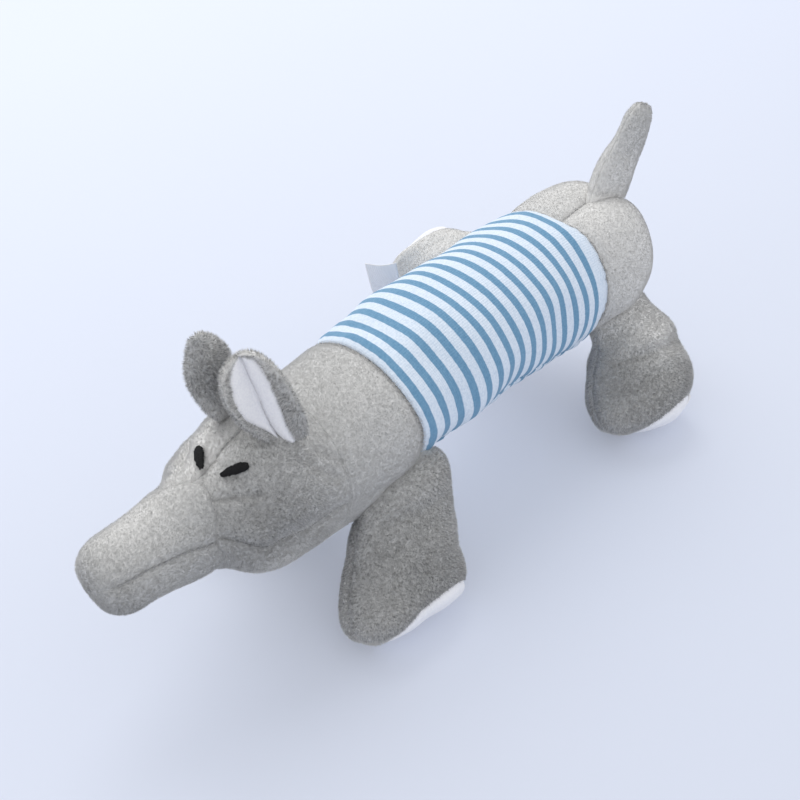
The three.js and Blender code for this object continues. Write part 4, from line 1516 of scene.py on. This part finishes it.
def add_stitches(name, lines, bodies, bend):
    """Short threads along lines of points, each with its way out."""
    paths, sizes = [], []
    s = np.linspace(-1, 1, 7)
    for line, out in lines:
        arc = arc_along(line)
        for place in np.arange(SEAM_STEP / 2, arc[-1] - SEAM_STEP / 2, SEAM_STEP):
            at = place + s * SEAM_STITCH / 2
            path, lift = (
                np.stack([np.interp(at, arc, rows[:, k]) for k in range(3)], -1) for rows in (line, out)
            )
            paths.append(path + lift * (0.42 - 0.45 * np.abs(s) ** 3)[:, None])
            sizes.append(SEAM_THREAD * (1 - 0.6 * np.abs(s) ** 8))
    made = mesh_object(name, *tubes(paths, sizes, 6), GREY_THREAD)
    dress(made, "grey_plush", bodies, bend)


def seam_lines(start, end, count, *edges):
    """Lines of points along the body between two places x, one for each edge."""
    t = t_of_x(np.linspace(start, end, count))
    return [body_skin(t, edge(t)) for edge in edges]


def add_seams():
    brow = seam_lines(84, 103.6, 80, BROW)
    cheeks = seam_lines(68, 109, 160, chin_angle, mirrored(chin_angle))
    sides = seam_lines(113, 147, 140, trunk_angle, mirrored(trunk_angle))
    add_stitches("seam_stitches_head", brow + cheeks, *NECK)
    add_stitches("seam_stitches_trunk", sides, *TRUNK)
    add_stitches("seam_stitches_rump", seam_lines(-103, -66, 140, TOP), *REST)
    t = np.linspace(1.6, SOLE_ROW - 0.2, 120)
    for leg in legs:
        lines = [leg.skin(t, np.full(120, angle)) for angle in (0.0, np.pi)]
        add_stitches("seam_stitches_" + leg.body, lines, ["torso", leg.body], leg.bend)


# Label: how far it lies along its hinge towards the foot, how far its free end curls up, its measures
LABEL_SHIFT, LABEL_CURL = 8.0, 3.5
LABEL_WIDE, LABEL_LONG, LABEL_CLOTH, LABEL_ROWS, LABEL_COLUMNS = 11.8, 19.4, 0.25, 30, 18
# Its hinge in the frame, in metres
LABEL_HINGE = np.array([-0.0544945, -0.0429428, 0.0396508])
LABEL_AXIS = np.array([-0.62105538, 0.7709653, 0.14107698])


def add_label():
    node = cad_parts["care_label"]
    centre = np.array([v.co for v in node.data.vertices]).mean(0) / MM + FOOTPRINT
    width, hinge = unit(LABEL_AXIS), LABEL_HINGE / MM + FOOTPRINT
    rise = unit(centre - hinge)
    rise = unit(rise - width * (rise @ width))
    face = np.cross(width, rise)
    v = np.linspace(0, 1, LABEL_ROWS)[:, None]
    u = np.linspace(-0.5, 0.5, LABEL_COLUMNS)[None]
    bow = 1.1 * np.sin(v * 2.6) * (0.4 + u) + 0.5 * np.cos(u * 5) * v
    bow = bow + LABEL_CURL * np.sign(face[2]) * v**2
    grid = hinge + width * (u * LABEL_WIDE - LABEL_SHIFT)[..., None]
    grid = grid + rise * (v * LABEL_LONG)[..., None] + face * bow[..., None]
    made = shell("care_label_ribbon", grid, normals_of(grid, False), LABEL_CLOTH, False, RIBBON)
    dress(made, "label_ribbon", ["label"], nodes=["care_label"])


def dress_squeaker():
    looks = {
        "squeaker_base": moulded_plastic("squeaker_plastic", (0.8, 0.8, 0.74)),
        "squeaker_bellows": moulded_plastic("bellows_plastic", (0.76, 0.77, 0.73)),
        "squeaker_reed": moulded_plastic("reed_plastic", (0.6, 0.6, 0.54)),
    }
    looks["squeaker_top"] = looks["squeaker_reed_holder"] = looks["squeaker_base"]
    for name, look in looks.items():
        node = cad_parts[name]
        node.data.materials.clear()
        node.data.materials.append(look)
    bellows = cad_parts["squeaker_bellows"]
    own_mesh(bellows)


# A limb's stuffing: rows, columns and the columns of its seams
body_stuffing = stuff_body()
leg_stuffing = stuff_limb("leg", legs[0], SOLE_ROW, 15, 26, [0, 13])
tail_stuffing = stuff_limb("tail", tail, tail.last - 1, 12, 24, [6, 18])

add_body()
add_sleeve()
add_fringe()
for leg in legs:
    leg.build()
add_tail()
for index, ear in enumerate(EARS):
    add_ear(index, *ear)
for eye in EYES:
    add_eye(eye)
add_seams()
add_label()
dress_squeaker()

# Floor: colour, shares of it far and near, painted lighter far off and darker near as light that falls off,
# how fast that painted light changes, its glow and its half size
FLOOR = linear(222, 228, 243)
FLOOR_LIT_FAR, FLOOR_SHADED_NEAR, FLOOR_SLOPE = 1.06, 0.88, 1.4
FLOOR_GLOW, FLOOR_SIZE = 0.3, 30000
# Light: the world's colour and strength, and the lamp's place in metres, size, power and colour
WORLD_COLOUR, WORLD_STRENGTH = (0.97, 0.98, 1.0, 1), 0.84
LAMP_PLACE, LAMP_SIZE, LAMP_POWER, LAMP_COLOUR = (-0.35, -0.9, 1.35), 1.5, 12, (1.0, 0.99, 0.97)


def add_floor():
    n = Nodes("floor")
    split = n.add("ShaderNodeSeparateXYZ")
    n.feed(n.where(), split.inputs[0])
    # Painted light: the floor is lighter far off and darker near, with a soft unevenness, as the lamp's
    # light falls off
    cloud = n.plus(n.times(n.noise(3, 2.0), 0.15), 0.42)
    place = n.plus(n.times(split.outputs["Y"], FLOOR_SLOPE), cloud)
    ends = [(k, tuple(c * share for c in FLOOR)) for k, share in enumerate((FLOOR_LIT_FAR, FLOOR_SHADED_NEAR))]
    colour = n.ramp(place, ends)
    n.finish(colour, roughness=0.8, specular=0.1)
    # Part of the pale floor glows for the eye alone, which keeps its shadows light
    rays = n.add("ShaderNodeLightPath").outputs
    seen = n.math("MAXIMUM", rays["Is Camera Ray"], rays["Is Glossy Ray"])
    seen = n.math("MAXIMUM", seen, rays["Is Transmission Ray"])
    glow = n.add("ShaderNodeEmission")
    n.feed(colour, glow.inputs["Color"])
    both = n.add("ShaderNodeMixShader")
    n.feed(n.times(seen, FLOOR_GLOW), both.inputs["Fac"])
    n.feed(n.shader.outputs["BSDF"], both.inputs[1])
    n.feed(glow.outputs["Emission"], both.inputs[2])
    n.feed(both.outputs["Shader"], n.tree.nodes["Material Output"].inputs["Surface"])
    corners = FLOOR_SIZE * np.array([[-1, -1, 0], [1, -1, 0], [1, 1, 0], [-1, 1, 0]], float)
    mesh_object("floor", corners, np.array([[0, 1, 2, 3]]), n.material)


def add_lamp():
    """A round lamp that faces the frame's origin."""
    lamp = bpy.data.lights.new("key", "AREA")
    lamp.shape = "DISK"
    lamp.size = LAMP_SIZE
    lamp.energy = LAMP_POWER
    lamp.color = LAMP_COLOUR
    back = unit(np.array(LAMP_PLACE))
    stand(bpy.data.objects.new("key", lamp), LAMP_PLACE, unit(np.cross(UP, back)), back)


def add_world():
    world = bpy.data.worlds.new("studio")
    world.use_nodes = True
    ground = world.node_tree.nodes["Background"]
    ground.inputs["Color"].default_value = WORLD_COLOUR
    ground.inputs["Strength"].default_value = WORLD_STRENGTH
    bpy.context.scene.world = world


add_floor()
add_world()
add_lamp()
bpy.context.scene.view_settings.view_transform = "Standard"
